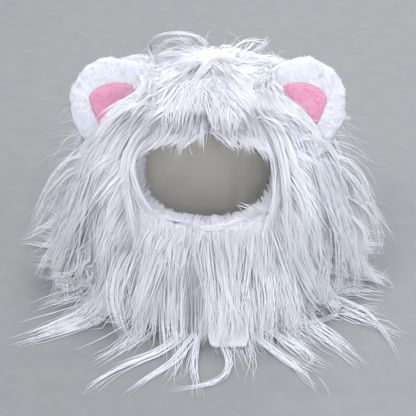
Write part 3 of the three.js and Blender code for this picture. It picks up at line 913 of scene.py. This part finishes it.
def rim_clumps(rng):
    """Short fur that lines the wall of the face opening and turns over its edge."""
    layers = []
    n = 44
    for depth in (0.12, 0.5, 0.9):
        turn = (np.arange(n) + rng.random()) / n * 2 * np.pi
        c, s = np.cos(turn), np.sin(turn)
        x, z = opening_edge(turn, 1.0)
        out = unit(np.stack([x / OPEN_WIDE ** 2, (z - OPENING_CENTRE) / OPEN_HIGH ** 2], -1))
        near = front_level(x, z, 2.0)
        away = front_level(x, z, pile_depth(np.clip(z / HOOD_HEIGHT, 0, 1)) * 0.85)
        y = near + (away - near) * depth
        grow = in_front(y)
        x = x * (1 + grow * FLARE_SIDE / OPEN_WIDE)
        z = z + np.where(s < 0, grow * FLARE_LOW * -s, 0)
        heading = np.stack([out[:, 0] * 0.45, np.full(n, -0.75), out[:, 1] * 0.45], -1)
        heading[:, 0] += np.where(s > 0.3, np.sign(c) * 0.45, 0) + 0.3 * (rng.random(n) - 0.5)
        heading[:, 2] += np.where(s > 0.3, -0.25, 0.12)
        length = np.interp(s, [-1, -0.4, 0.2, 0.7, 1], [36, 46, 52, 34, 24]) * (0.75 + 0.5 * rng.random(n))
        layers.append(clump_set(
            np.arctan2(x, -y), z / HOOD_HEIGHT, root=np.stack([x, y, z], -1), heading=heading, length=length,
            fall=0.55, bulk=1 + 3 * rng.random(n), curl=0.8 * (rng.random(n) - 0.5), count=21, width=13,
            thick=4, gather=0.1 + 0.4 * rng.random(n), tone=rng.random(n), droop=2 + 8 * rng.random(n),
            wave=1.8, loose=0.06,
        ))
    return joined_sets(*layers)


def ledge_clumps(rng):
    """Fur on the lower ledge of the face opening: out along it, over its edge and down."""
    n = 132
    turn = np.radians(np.linspace(168, 372, n) + 3 * (rng.random(n) - 0.5))
    down = np.maximum(-np.sin(turn), 0)
    x, z = opening_edge(turn)
    inner = front_level(x, z, 2.5 + 13 * rng.random(n) ** 1.8)
    drift = 5 * (rng.random(n) - 0.5) + 3 * np.sign(x)
    rows = []
    for out, fall, raised in LEDGE_PATH:
        beyond = np.clip(-inner - FRONT_START + out * PILE_DEPTH, 0, FRONT_RUN)
        px = x * (1 + beyond * FLARE_SIDE / OPEN_WIDE) + drift * (out + fall / 30)
        pz = z + beyond * FLARE_LOW * down + raised * down - fall * (0.6 + 0.5 * rng.random(n))
        edge = pile_front(px, pz, 1.0 + raised)
        py = np.where(out < 1, inner + (np.minimum(edge, inner) - inner) * out, edge)
        rows.append(np.stack([px, py, pz], -1))
    return path_set(
        np.stack([smooth_path(row) for row in np.stack(rows, 1)]), count=24, width=9 + 5 * rng.random(n),
        thick=3.6, gather=0.1 + 0.4 * rng.random(n), short=0.3, loose=0.06, wave=1.4, tone=rng.random(n),
    )


def lock_clumps(rng):
    """The same locks as in the source, as dense bundles."""
    rows = []
    seed = 1
    for height, start, end, count, length, width, lift, side_share in LOCK_ROWS:
        for i in range(count):
            for side in (-1, 1):
                seed += 1
                azimuth = math.radians(start + (end - start) * i / (count - 1) + 2.5 * wave(seed))
                share = 1 + (side_share - 1) * math.sin(azimuth) ** 2
                rows.append((
                    side * azimuth, height + 0.025 * wave(seed + 0.2),
                    LOCK_LENGTH * length * share * (1 + 0.07 * wave(seed + 0.7)), lift * 0.7,
                    0.12 * wave(seed + 0.5), LOCK_WIDTH * width,
                ))
    azimuth, height, length, lift, sway, width = np.array(rows).T.copy()
    n = len(rows)
    body = clump_set(
        azimuth, height, length=length, lift=lift, sway=sway, bulk=2.4, width=width,
        thick=LOCK_THICKNESS * 0.6, count=34, gather=0.42, short=0.4, loose=0.16, wave=4.0,
        curl=1.2 * (rng.random(n) - 0.5), tone=rng.random(n),
    )
    turn, share = np.array(CROWN_LOCKS).T
    n = len(turn)
    top = clump_set(
        np.radians(turn), np.full(n, 0.985), length=LOCK_LENGTH * share, fall=CROWN_FALL,
        width=LOCK_WIDTH * 0.8, thick=LOCK_THICKNESS * 0.5, count=50, gather=0.5, short=0.5, loose=0.05,
        wave=2.0, tone=rng.random(n),
    )
    return body, top


def piece_of(root):
    """Which fur panel a strand's root belongs to."""
    x, y, z = xyz(root)
    turn = np.degrees(np.arctan2(x, -y))
    names = np.full(len(root), "mane_back_strands_low", dtype=object)
    names[(np.abs(turn) >= BACK_FROM) & (z > 78)] = "mane_back_strands_high"
    names[(turn >= SIDE_FROM) & (turn < BACK_FROM)] = "mane_right_strands"
    names[(turn <= -SIDE_FROM) & (turn > -BACK_FROM)] = "mane_left_strands"
    names[(turn >= 0) & (turn < SIDE_FROM)] = "ruff_right_strands"
    names[(turn < 0) & (turn > -SIDE_FROM)] = "ruff_left_strands"
    names[(np.hypot(x, y) < 34) & (z > 120)] = "mane_crown_strands"
    return names


# Stray bundles: strands in each, spread, then points from root to tip
STRAYS = [
    (26, 4,  -36, 10, 147,  -39, 12, 156,  -33, 15, 163,  -20, 17, 166,  -8, 15, 163,  -1, 11, 157,
     2, 6, 149),
    (12, 3,  -34, 4, 146,  -33, 8, 155,  -24, 10, 161,  -12, 10, 161,  -5, 6, 154),
    (5, 5,  20, 6, 150,  27, 8, 158,  31, 9, 164,  32, 8, 167),
    (5, 5,  22, 4, 150,  32, 6, 156,  38, 8, 161,  41, 8, 166),
    (4, 3,  14, 10, 151,  24, 14, 158,  36, 14, 158,  41, 10, 152),
    (16, 5,  74, -12, 96,  86, -12, 80,  98, -12, 64,  107, -14, 46,  114, -16, 30,  118, -16, 17),
    (12, 4,  80, -18, 84,  92, -20, 74,  101, -22, 58,  105, -24, 42,  107, -26, 26),
    (12, 4,  84, -26, 52,  95, -28, 50,  103, -30, 42,  107, -32, 30,  106, -34, 18),
    (14, 5,  88, -20, 22,  100, -22, 8,  112, -26, 2,  120, -32, 1.5,  122, -41, 1.5,  117, -46, 1.5),
    (14, 5,  74, -56, 10,  92, -58, 2,  104, -70, 1.5,  112, -95, 1.5,  119, -125, 1.5,  118, -138, 1.5),
    (18, 7,  50, -84, 6,  64, -84, 2,  84, -74, 2,  102, -64, 1.5,  116, -62, 1.5),
    (16, 5,  -72, -4, 96,  -86, -5, 88,  -98, -6, 76,  -108, -7, 56,  -115, -8, 36,  -120, -8, 20),
    (14, 5,  -80, -14, 84,  -91, -14, 74,  -100, -15, 60,  -104, -16, 44,  -106, -16, 30),
    (18, 8,  -84, 34, 18,  -96, 40, 6,  -110, 44, 2,  -126, 46, 1.5),
    (18, 8,  -84, 10, 14,  -98, 14, 4,  -112, 18, 1.5,  -128, 22, 1.5,  -134, 18, 1.5),
    (14, 7,  -82, -14, 12,  -94, -10, 3,  -108, 0, 1.5,  -120, 4, 1.5),
    (12, 5,  -80, -34, 8,  -90, -40, 2,  -98, -38, 1.5,  -104, -26, 1.5,  -101, -18, 1.5),
    (20, 7,  -14, -104, 8,  -30, -118, 2,  -52, -134, 1.5,  -68, -152, 1.5,  -76, -170, 1.5),
    (16, 6,  -8, -106, 8,  -22, -128, 2,  -40, -150, 1.5,  -54, -170, 1.5),
    (14, 5,  -6, -108, 8,  -8, -130, 2,  -6, -152, 1.5,  -3, -172, 1.5),
    (18, 6,  28, -104, 6,  44, -120, 2,  58, -140, 1.5,  66, -160, 1.5,  68, -171, 1.5),
    (14, 6,  6, -106, 8,  13, -128, 2,  9, -146, 1.5,  -6, -156, 1.5,  -28, -160, 1.5),
    (10, 5,  40, -98, 5,  56, -112, 1.5,  64, -128, 1.5,  58, -142, 1.5),
    (34, 7,  38, -44, 127,  45, -58, 117,  48, -70, 102,  50, -78, 84,  51, -84, 64,  52, -87, 46,
     50, -90, 30),
    (26, 6,  44, -42, 124,  53, -54, 110,  57, -64, 92,  58, -70, 72,  60, -74, 52),
    (34, 7,  -38, -44, 127,  -50, -55, 114,  -53, -66, 102,  -50, -75, 84,  -45, -84, 62,  -42, -88, 44),
    (26, 6,  -46, -40, 124,  -58, -48, 108,  -61, -58, 90,  -58, -66, 70,  -56, -72, 50),
    (20, 7,  35, -62, 67,  31, -71, 75,  24, -74, 81,  17, -70, 83),
    (16, 6,  39, -64, 67,  38, -73, 77,  33, -76, 83,  26, -72, 86),
    (14, 4,  -18, -74, 66,  -8, -80, 70,  4, -82, 71,  18, -79, 74,  31, -73, 77),
    (12, 3,  -32, -70, 70,  -18, -78, 72,  -4, -82, 69,  7, -86, 60,  10, -88, 50),
    (16, 6,  -3, -56, 62,  -1, -66, 67,  3, -80, 70,  6, -87, 62,  7, -90, 48,  5, -92, 36),
    (14, 6,  4, -56, 62,  2, -68, 67,  -3, -81, 69,  -7, -87, 60,  -8, -90, 46,  -5, -93, 34),
    (8, 5,  66, -28, 92,  74, -34, 98,  77, -38, 104,  70, -38, 106),
    (10, 4,  40, -34, 106,  52, -38, 108,  64, -36, 112,  74, -30, 110),
    (9, 5,  -70, -30, 90,  -64, -38, 98,  -54, -40, 104,  -46, -36, 108),
    (14, 6,  70, 60, 40,  88, 74, 24,  104, 82, 8,  118, 80, 2,  126, 70, 1.5),
    (12, 6,  78, 46, 92,  90, 56, 84,  100, 60, 84,  108, 58, 92),
    (16, 7,  -76, 56, 40,  -90, 68, 20,  -98, 80, 4,  -100, 98, 1.5),
    (14, 6,  -40, 88, 10,  -46, 104, 2,  -44, 126, 1.5,  -52, 150, 1.5),
    (14, 6,  44, 88, 10,  54, 104, 2,  70, 120, 1.5,  78, 140, 1.5),
    (14, 5,  -40, -50, 117,  -48, -62, 109,  -45, -71, 97,  -38, -77, 85,  -28, -81, 74),
    (10, 4,  -46, -54, 108,  -50, -64, 99,  -44, -73, 88,  -36, -78, 77,  -30, -82, 66),
    (14, 5,  34, -48, 121,  40, -61, 111,  42, -70, 98,  41, -77, 84,  37, -82, 70,  36, -86, 56),
    (10, 4,  42, -52, 112,  46, -64, 101,  45, -72, 90,  40, -78, 79,  34, -80, 72),
    (12, 6,  -74, -18, 86,  -86, -16, 89,  -99, -16, 80,  -110, -16, 60,  -117, -18, 42,  -119, -18, 30),
    (10, 6,  -76, -20, 82,  -90, -20, 81,  -103, -20, 67,  -113, -22, 50,  -123, -24, 34),
    (10, 7,  -78, -12, 74,  -92, -12, 64,  -106, -12, 48,  -116, -12, 34,  -128, -10, 26),
    (9, 7,  -80, -20, 60,  -96, -22, 50,  -110, -22, 38,  -122, -22, 30,  -132, -20, 28),
    (12, 6,  74, -18, 86,  88, -16, 89,  100, -14, 78,  109, -16, 60,  116, -18, 44,  124, -18, 36),
    (10, 5,  76, -20, 82,  91, -20, 80,  102, -20, 66,  111, -22, 50,  121, -24, 34,  126, -26, 22),
    (10, 5,  80, -20, 66,  94, -22, 62,  106, -24, 52,  114, -26, 38,  116, -28, 26,  112, -30, 20),
    (22, 10,  -7, -76, 64,  -4, -87, 50,  0, -94, 34,  1, -107, 18,  -5, -119, 8),
    (22, 10,  7, -76, 58,  8, -88, 47,  10, -97, 31,  10, -111, 19,  5, -128, 3),
    (22, 10,  19, -74, 66,  17, -87, 52,  17, -97, 31,  19, -110, 19,  27, -123, 7),
]
STRAYS = [(count, width, np.reshape(points, (-1, 3))) for count, width, *points in STRAYS]

# Bundles that hang over the closure tab: where each starts across, its height there, how far
# it drifts sideways, and how far out and how high it ends
TAB_COVER = [
    (-2, 66, 6, -126, 8), (4, 52, -6, -119, 12), (9, 61, 5, -128, 3), (15, 47, -8, -121, 9),
    (20, 64, -5, -127, 4), (25, 50, 7, -118, 13), (31, 60, 3, -124, 6), (13, 68, 9, -117, 14),
    (27, 68, -7, -122, 8), (6, 44, 2, -129, 3), (22, 42, 4, -130, 3), (34, 46, -9, -121, 8),
]
for x, top, drift, out, low in TAB_COVER:
    STRAYS.append((15, 8.0, [
        (x, -76, top), (x + drift * 0.2, -88, top - 12), (x + drift * 0.6, -97, 24 + (top - 24) * 0.28),
        (x + drift * 0.9, -108, 18), (x + drift * 1.4, out, low),
    ]))

# Bundles that lie over the hood in front of each ear's inner side: how far forward they run
EAR_FRONT = [-30, -26, -22, -18.5, -15]
for side in (-1, 1):
    for y in EAR_FRONT:
        STRAYS.append((20, 7.0, [
            (side * 41, y + 2, 137), (side * (43.5 + y * 0.02 + 6), y, 130.5),
            (side * (61.6 + y * 0.22), y, 124.5), (side * (66.2 + y * 0.16), y, 118),
            (side * (70.6 + y * 0.14), y, 112), (side * (74.6 + y * 0.13), y - 1, 105),
            (side * (79 + y * 0.13), y - 3, 96),
        ]))


def smooth_path(points):
    """Points evenly along a curve through the given ones."""
    points = np.asarray(points, float)
    ends = np.concatenate([[2 * points[0] - points[1]], points, [2 * points[-1] - points[-2]]])
    t = np.linspace(0, 1, 12, endpoint=False)[:, None]
    curve = []
    for i in range(len(points) - 1):
        a, b, c, d = ends[i:i + 4]
        bend, twist = 2 * a - 5 * b + 4 * c - d, 3 * b - a - 3 * c + d
        curve.append(0.5 * (2 * b + (c - a) * t + bend * t ** 2 + twist * t ** 3))
    curve = np.concatenate([*curve, points[-1:]])
    length = np.concatenate([[0], np.cumsum(np.linalg.norm(np.diff(curve, axis=0), axis=1))])
    at = np.linspace(0, length[-1], PATH_STEPS)
    return np.stack([np.interp(at, length, curve[:, k]) for k in range(3)], -1)


def stray_clumps():
    count, width, points = zip(*STRAYS)
    return path_set(
        np.stack([smooth_path(p) for p in points]), count=count, width=width,
        thick=[w * 0.6 for w in width], gather=0.35, short=0.55, loose=0.14, wave=2.6, tone=0.9,
    )


rng = np.random.default_rng(296)
lock_body, lock_top = lock_clumps(rng)
stray_set, stray_paths = stray_clumps()
ledge_set, ledge_paths = ledge_clumps(rng)
curl_set, curl_paths = curl_clumps(rng)
batches = [
    strands_of(clear_of_ears(joined_sets(body_clumps(rng), lock_body)), rng, 6, 0.27),
    strands_of(clear_of_ears(joined_sets(crown_clumps(rng), apex_clumps(rng), lock_top)), rng, 6, 0.25),
    strands_of(rim_clumps(rng), rng, 5, 0.27),
    strands_of(stray_set, rng, 9, 0.24, stray_paths),
    strands_of(ledge_set, rng, 6, 0.26, ledge_paths),
    strands_of(curl_set, rng, 9, 0.20, curl_paths),
    strands_of(clear_of_ears(flyaways(rng)), rng, 6, 0.13),
]

gathered = {}
for batch in batches:
    names = piece_of(batch["root"])
    for name in sorted(set(names)):
        chosen = names == name
        part = tubes(*(batch[key][chosen] for key in ("line", "thick", "up", "tone")))
        gathered.setdefault(name, []).append(part)

for name, parts in gathered.items():
    starts = np.cumsum([0, *(len(part[0]) for part in parts[:-1])])
    columns = zip(*((p, q + start, t + start, *rest) for (p, q, t, *rest), start in zip(parts, starts)))
    points, quads, tris, tones, shares, normals = (np.concatenate(column) for column in columns)
    obj = mesh_object(name, points, quads, tris, FUR, {"strand_tone": tones, "strand_share": shares})
    obj.data.normals_split_custom_set_from_vertices(normals)
    keep(obj, "fur")


# Hood lining

def grid_faces(rows, columns, wrap):
    i, j = np.meshgrid(np.arange(rows - 1), np.arange(columns if wrap else columns - 1), indexing="ij")
    a, b = i * columns + j, i * columns + (j + 1) % columns
    return np.stack([a, b, b + columns, a + columns], -1).reshape(-1, 4)


def shell_from_rings(name, rings, material):
    """Closed surface through rings of equal length, with a fan at each end."""
    rings = np.asarray(rings, float)
    rows, columns = rings.shape[:2]
    points = np.concatenate([rings.reshape(-1, 3), [rings[0].mean(0), rings[-1].mean(0)]])
    j = np.arange(columns)
    k = (j + 1) % columns
    end, middle = (rows - 1) * columns, np.full(columns, rows * columns)
    tris = np.concatenate([np.stack([k, j, middle], -1), np.stack([j + end, k + end, middle + 1], -1)])
    obj = mesh_object(name, points, grid_faces(rows, columns, True), tris, material)
    face_outward(obj)
    return obj


turns = np.arange(108) / 108 * 2 * np.pi
levels = np.concatenate([np.linspace(0, 0.9, 42), [0.925, 0.95, 0.965, 0.98, 0.99]])


def soft_outline(height, column):
    """The outline, rounded between its rows."""
    values = [outline(np.clip(height + s, 0, 2 * height), column) for s in np.linspace(-0.05, 0.05, 5)]
    return np.mean(values, 0)


def lining_ring(height, offset, drop=None):
    side, ahead = np.sin(turns), np.cos(turns)
    out, up = outline_normal(height)
    wide, front, back = (
        soft_outline(height, column) * half + offset * out
        for column, half in ((1, HALF_WIDTH), (2, HALF_DEPTH), (3, HALF_DEPTH))
    )
    x = wide * signed_power(side, SUPER)
    y = -np.where(ahead > 0, front, back) * signed_power(ahead, SUPER)
    # a soft upright fold on the back wall, and slack in the cloth
    fold = 3.2 * np.exp(-((x - 21 - 3 * height) / 3.0) ** 2) * (ahead < 0) * np.clip(1.3 - height, 0, 1)
    slack = 0.9 * np.sin(3 * turns + 5 * height) + 0.6 * np.sin(7 * turns - 8 * height)
    inward = (fold + slack * (height < 0.95)) / np.maximum(np.hypot(x, y), 1e-6)
    z = np.full(len(turns), height * HOOD_HEIGHT + offset * up if drop is None else drop)
    return np.stack([x * (1 - inward), y * (1 - inward), z], -1)


def lining():
    inner = []
    for height in levels[::-1]:
        extra = HEM_THICKNESS * float(np.clip((HEM_HEIGHT / HOOD_HEIGHT - height) / 0.02 + 0.5, 0, 1))
        inner.append(lining_ring(height, -CLOTH_WALL - extra, 0.25 if height == 0 else None))
    outer = [lining_ring(height, 0.0, 0.25 if height == 0 else None) for height in levels]
    roll = [lining_ring(0.0, -1.9, 0.0)]
    obj = shell_from_rings("hood_lining_cloth", [*inner, *roll, *outer], KNIT)
    x, z = opening_edge(np.arange(72) / 72 * 2 * np.pi)
    rings = [np.stack([x, np.full(72, y), z], -1) for y in (-12.0, -30.0, -48.0, -66.0)]
    carve(obj, shell_from_rings("opening_cutter", rings, KNIT))
    keep(obj, "backing", "hood_lining")


lining()


# Ears

def ear_reach(turn):
    """How far an ear's edge lies from its middle, with a faint pucker."""
    pucker = 1 + 0.012 * np.cos(7 * turn + 0.6)
    return pucker * np.hypot((EAR_WIDTH / 2) * np.cos(turn), (EAR_HEIGHT / 2) * np.sin(turn))


def ear_depth(across, level):
    """How far forward an ear's cupped face lies."""
    reach = np.minimum(1, np.hypot(across, level) / ear_reach(np.arctan2(level, across)))
    return -(EAR_THICKNESS / 2) * np.sqrt(1 - reach ** 3.2) - EAR_CUP * reach ** 2


def on_head(points, side):
    turn, place = ear_turn(side)
    return np.asarray(points, float) @ turn.T + place


def hood_room(offset):
    """The room inside the hood's cloth and a little beyond it, to cut the ears with."""
    turn = np.arange(96) / 96 * 2 * np.pi
    rings = [hood(turn, min(height, 0.995), offset) for height in np.linspace(0, 1, 40)]
    rings[0][:, 2] = -5
    return shell_from_rings("hood_room", rings, KNIT)


def fuzz(name, source, count, material, rng, low=-np.inf):
    """Short fibres, each a slim closed spike, spread evenly over a mesh above a level."""
    mesh = source.data
    mesh.calc_loop_triangles()
    faces = np.empty(len(mesh.loop_triangles) * 3, np.int32)
    mesh.loop_triangles.foreach_get("vertices", faces)
    a, b, c = np.moveaxis(from_frame(read_vertices(mesh))[faces.reshape(-1, 3)], 1, 0)
    cross = np.cross(b - a, c - a)
    chance = np.linalg.norm(cross, axis=1) * (a[:, 2] > low)
    pick = rng.choice(len(chance), count, p=chance / chance.sum())
    u, v = rng.random(count), rng.random(count)
    over = u + v > 1
    u[over], v[over] = 1 - u[over], 1 - v[over]
    place = a[pick] + (b - a)[pick] * u[:, None] + (c - a)[pick] * v[:, None]
    normal = unit(cross[pick])
    way = unit(normal + 0.45 * rng.normal(size=(count, 3)))
    tall = NAP_LENGTH * (0.5 + rng.random(count))
    side = unit(np.cross(way, rng.normal(size=(count, 3))))
    other = np.cross(way, side)
    corners = [
        place - normal * 0.25 + (side * math.cos(turn) + other * math.sin(turn)) * NAP_RADIUS
        for turn in (2 * math.pi * k / 3 for k in range(3))
    ]
    points = np.stack([*corners, place + way * tall[:, None]], 1).reshape(-1, 3)
    base = np.arange(count)[:, None] * 4
    tris = np.concatenate([base + np.array(t)[None] for t in ((2, 1, 0), (0, 1, 3), (1, 2, 3), (2, 0, 3))])
    obj = mesh_object(name, points, [], tris, material)
    obj.data.normals_split_custom_set_from_vertices(np.repeat(unit(normal + way * 0.3), 4, axis=0))
    return obj


def keep_top_part(obj):
    """Removes what a cut has split off from the part that reaches highest."""
    bm = bmesh.new()
    bm.from_mesh(obj.data)
    top = max(bm.verts, key=lambda v: v.co.z)
    seen, stack = {top}, [top]
    while stack:
        v = stack.pop()
        for e in v.link_edges:
            w = e.other_vert(v)
            if w not in seen:
                seen.add(w)
                stack.append(w)
    bmesh.ops.delete(bm, geom=[v for v in bm.verts if v not in seen], context="VERTS")
    bm.to_mesh(obj.data)
    bm.free()


def ear(side, hand, rng):
    turn = np.arange(112) / 112 * 2 * np.pi
    wear = 0.012 * np.sin(11 * turn + 2 * side) + 0.008 * np.sin(23 * turn + 1.3)
    rings = []
    for bend in np.linspace(0.04, np.pi - 0.04, 37):
        reach = math.sin(bend)
        depth = -math.copysign(1, math.cos(bend)) * math.sqrt(max(0, 1 - reach ** 3.2))
        radius = ear_reach(turn) * reach * (1 + wear * reach ** 4)
        # gathers that run in from the seam
        gather = 0.55 * np.cos(19 * turn + 1.7 * np.sin(3 * turn) + side)
        gather = gather * np.exp(-((reach - 0.90) / 0.09) ** 2)
        dent = 0.5 * np.sin(2 * turn + side + 3 * reach) * (1 - reach)
        rings.append(np.stack([
            radius * np.cos(turn),
            depth * (EAR_THICKNESS / 2 + gather + dent) - EAR_CUP * reach ** 2,
            radius * np.sin(turn),
        ], -1))
    obj = shell_from_rings(f"ear_{hand}_plush", on_head(rings, side), PLUSH)
    carve(obj, hood_room(0.6))
    keep_top_part(obj)
    keep(obj, "plush", f"ear_{hand}")
    keep(fuzz(f"ear_{hand}_nap", obj, 4600, PLUSH, rng, 96), "plush")
    patch = ear_patch(side, hand)
    keep(patch, "pink_plush", f"ear_patch_{hand}")
    keep(fuzz(f"ear_patch_{hand}_nap", patch, 1700, PINK, rng), "pink_plush")


def ear_patch(side, hand):
    """The inner patch: a puffed sheet that lies in the ear's face, rounded at its corners."""
    cells = 26
    p, q = np.meshgrid(np.linspace(-1, 1, cells), np.linspace(-1, 1, cells), indexing="ij")
    rounding = 1 - 0.16 * p * p * q * q
    across = (PATCH_WIDTH / 2) * p * rounding * (0.8 + 0.2 * q)
    level = (PATCH_HEIGHT / 2) * (q * rounding + 0.1 * (1 - p * p)) - EAR_HEIGHT * 0.12
    edge = np.clip((1 - np.maximum(np.abs(p), np.abs(q))) / 0.18, 0, 1)
    faces = [
        np.stack([across, ear_depth(across, level) - lift, level], -1).reshape(-1, 3)
        for lift in (0.3 + 1.2 * np.sqrt(edge), 0.25)
    ]
    count = cells * cells
    quads = grid_faces(cells, cells, False)
    rim = np.concatenate([
        np.arange(cells) * cells, (cells - 1) * cells + np.arange(1, cells),
        np.arange(cells - 2, -1, -1) * cells + cells - 1, np.arange(cells - 2, 0, -1),
    ])
    after = np.roll(rim, -1)
    quads = np.concatenate([
        quads, (quads + count)[:, ::-1], np.stack([rim, rim + count, after + count, after], -1),
    ])
    patch = mesh_object(f"ear_patch_{hand}_plush", on_head(np.concatenate(faces), side), quads, [], PINK)
    face_outward(patch)
    return patch


for side, hand in ((-1, "left"), (1, "right")):
    ear(side, hand, np.random.default_rng(40 + side))


# Closure tab

def tab():
    """A flat strip that lies on the floor in front and rises under the chin fur to the hem."""
    run = np.linspace(0, 1, 31)
    rise = np.interp(run, *TAB_RISE)
    soft = np.convolve(np.pad(rise, 2, mode="edge"), np.ones(5) / 5, "valid")
    end = np.sqrt(np.clip(1 - ((run - 0.86) / 0.155) ** 2, 0, 1)) * 0.35 + 0.65
    half = TAB_WIDTH / 2 * np.where(run > 0.86, end, 1.0)
    angle = np.arange(28) / 28 * 2 * np.pi
    rings = []
    for r, z, w in zip(run, soft, half):
        x = TAB_ASIDE + w * signed_power(np.cos(angle), 0.25)
        level = 1.0 + z * 16 + 0.5 * np.sin(0.25 * x + 7 * r) * (1 - r) + signed_power(np.sin(angle), 0.6)
        rings.append(np.stack([x, np.full(28, -(TAB_START + TAB_RUN * r)), np.maximum(level, 0.05)], -1))
    obj = shell_from_rings("closure_tab_tape", rings, TAPE)
    keep(obj, "tab", "closure_tab")


tab()


# Stage, light and camera

def floor():
    bpy.ops.mesh.primitive_grid_add(x_subdivisions=2, y_subdivisions=2, size=6)
    obj = bpy.context.object
    obj.name = "floor"
    obj.data.materials.append(floor_material())
    obj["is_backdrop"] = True


floor()


def light(name, kind, place, aim, power, **settings):
    data = bpy.data.lights.new(name, kind)
    for key, value in {"energy": power, **settings}.items():
        setattr(data, key, value)
    aimed(new_object(name, data), place, aim)


def aimed(obj, place, aim):
    obj.location = place
    obj.rotation_euler = (Vector(aim) - Vector(place)).to_track_quat("-Z", "Y").to_euler()


MIDDLE = (0, 0, 0.08)
for name, place, size, power, colour in (
    ("key", (-0.7, -0.8, 1.5), 0.9, 12, (1.0, 0.99, 0.98)),
    ("fill", (1.2, -0.7, 0.9), 1.2, 7.5, (0.95, 0.97, 1.0)),
    ("top", (0.1, 0.5, 1.5), 0.8, 8, (1, 1, 1)),
    ("back", (0.5, 1.5, 0.9), 1.0, 12, (1, 1, 1)),
    ("front", (0.1, -1.4, 0.62), 0.8, 5.5, (1, 1, 1)),
):
    light(name, "AREA", place, MIDDLE, power, shape="DISK", size=size, color=colour)
light(
    "hollow", "SPOT", (0.02, -1.05, 0.62), (0, 0.02, 0.080), 72,
    spot_size=math.radians(6.4), spot_blend=1.0, shadow_soft_size=0.16,
)

world = bpy.data.worlds.new("studio")
bpy.context.scene.world = world
world.use_nodes = True
background = world.node_tree.nodes["Background"].inputs
background["Color"].default_value = (0.93, 0.95, 1.0, 1)
background["Strength"].default_value = 0.56

# The camera looks down on the wig from the front
AIM, ELEVATION, DISTANCE = Vector((0.0, -0.022, 0.052)), math.radians(28), 1.08
camera_data = bpy.data.cameras.new("camera")
camera_data.lens = 140
camera_data.clip_start, camera_data.clip_end = 0.02, 20
camera = new_object("camera", camera_data)
aimed(camera, AIM + Vector((0, -math.cos(ELEVATION), math.sin(ELEVATION))) * DISTANCE, AIM)
bpy.context.scene.camera = camera
bpy.context.scene.view_settings.view_transform = "Standard"

low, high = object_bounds()

counts = {o.name: triangles(o) for o in made}
print("triangles", counts, sum(counts.values()))
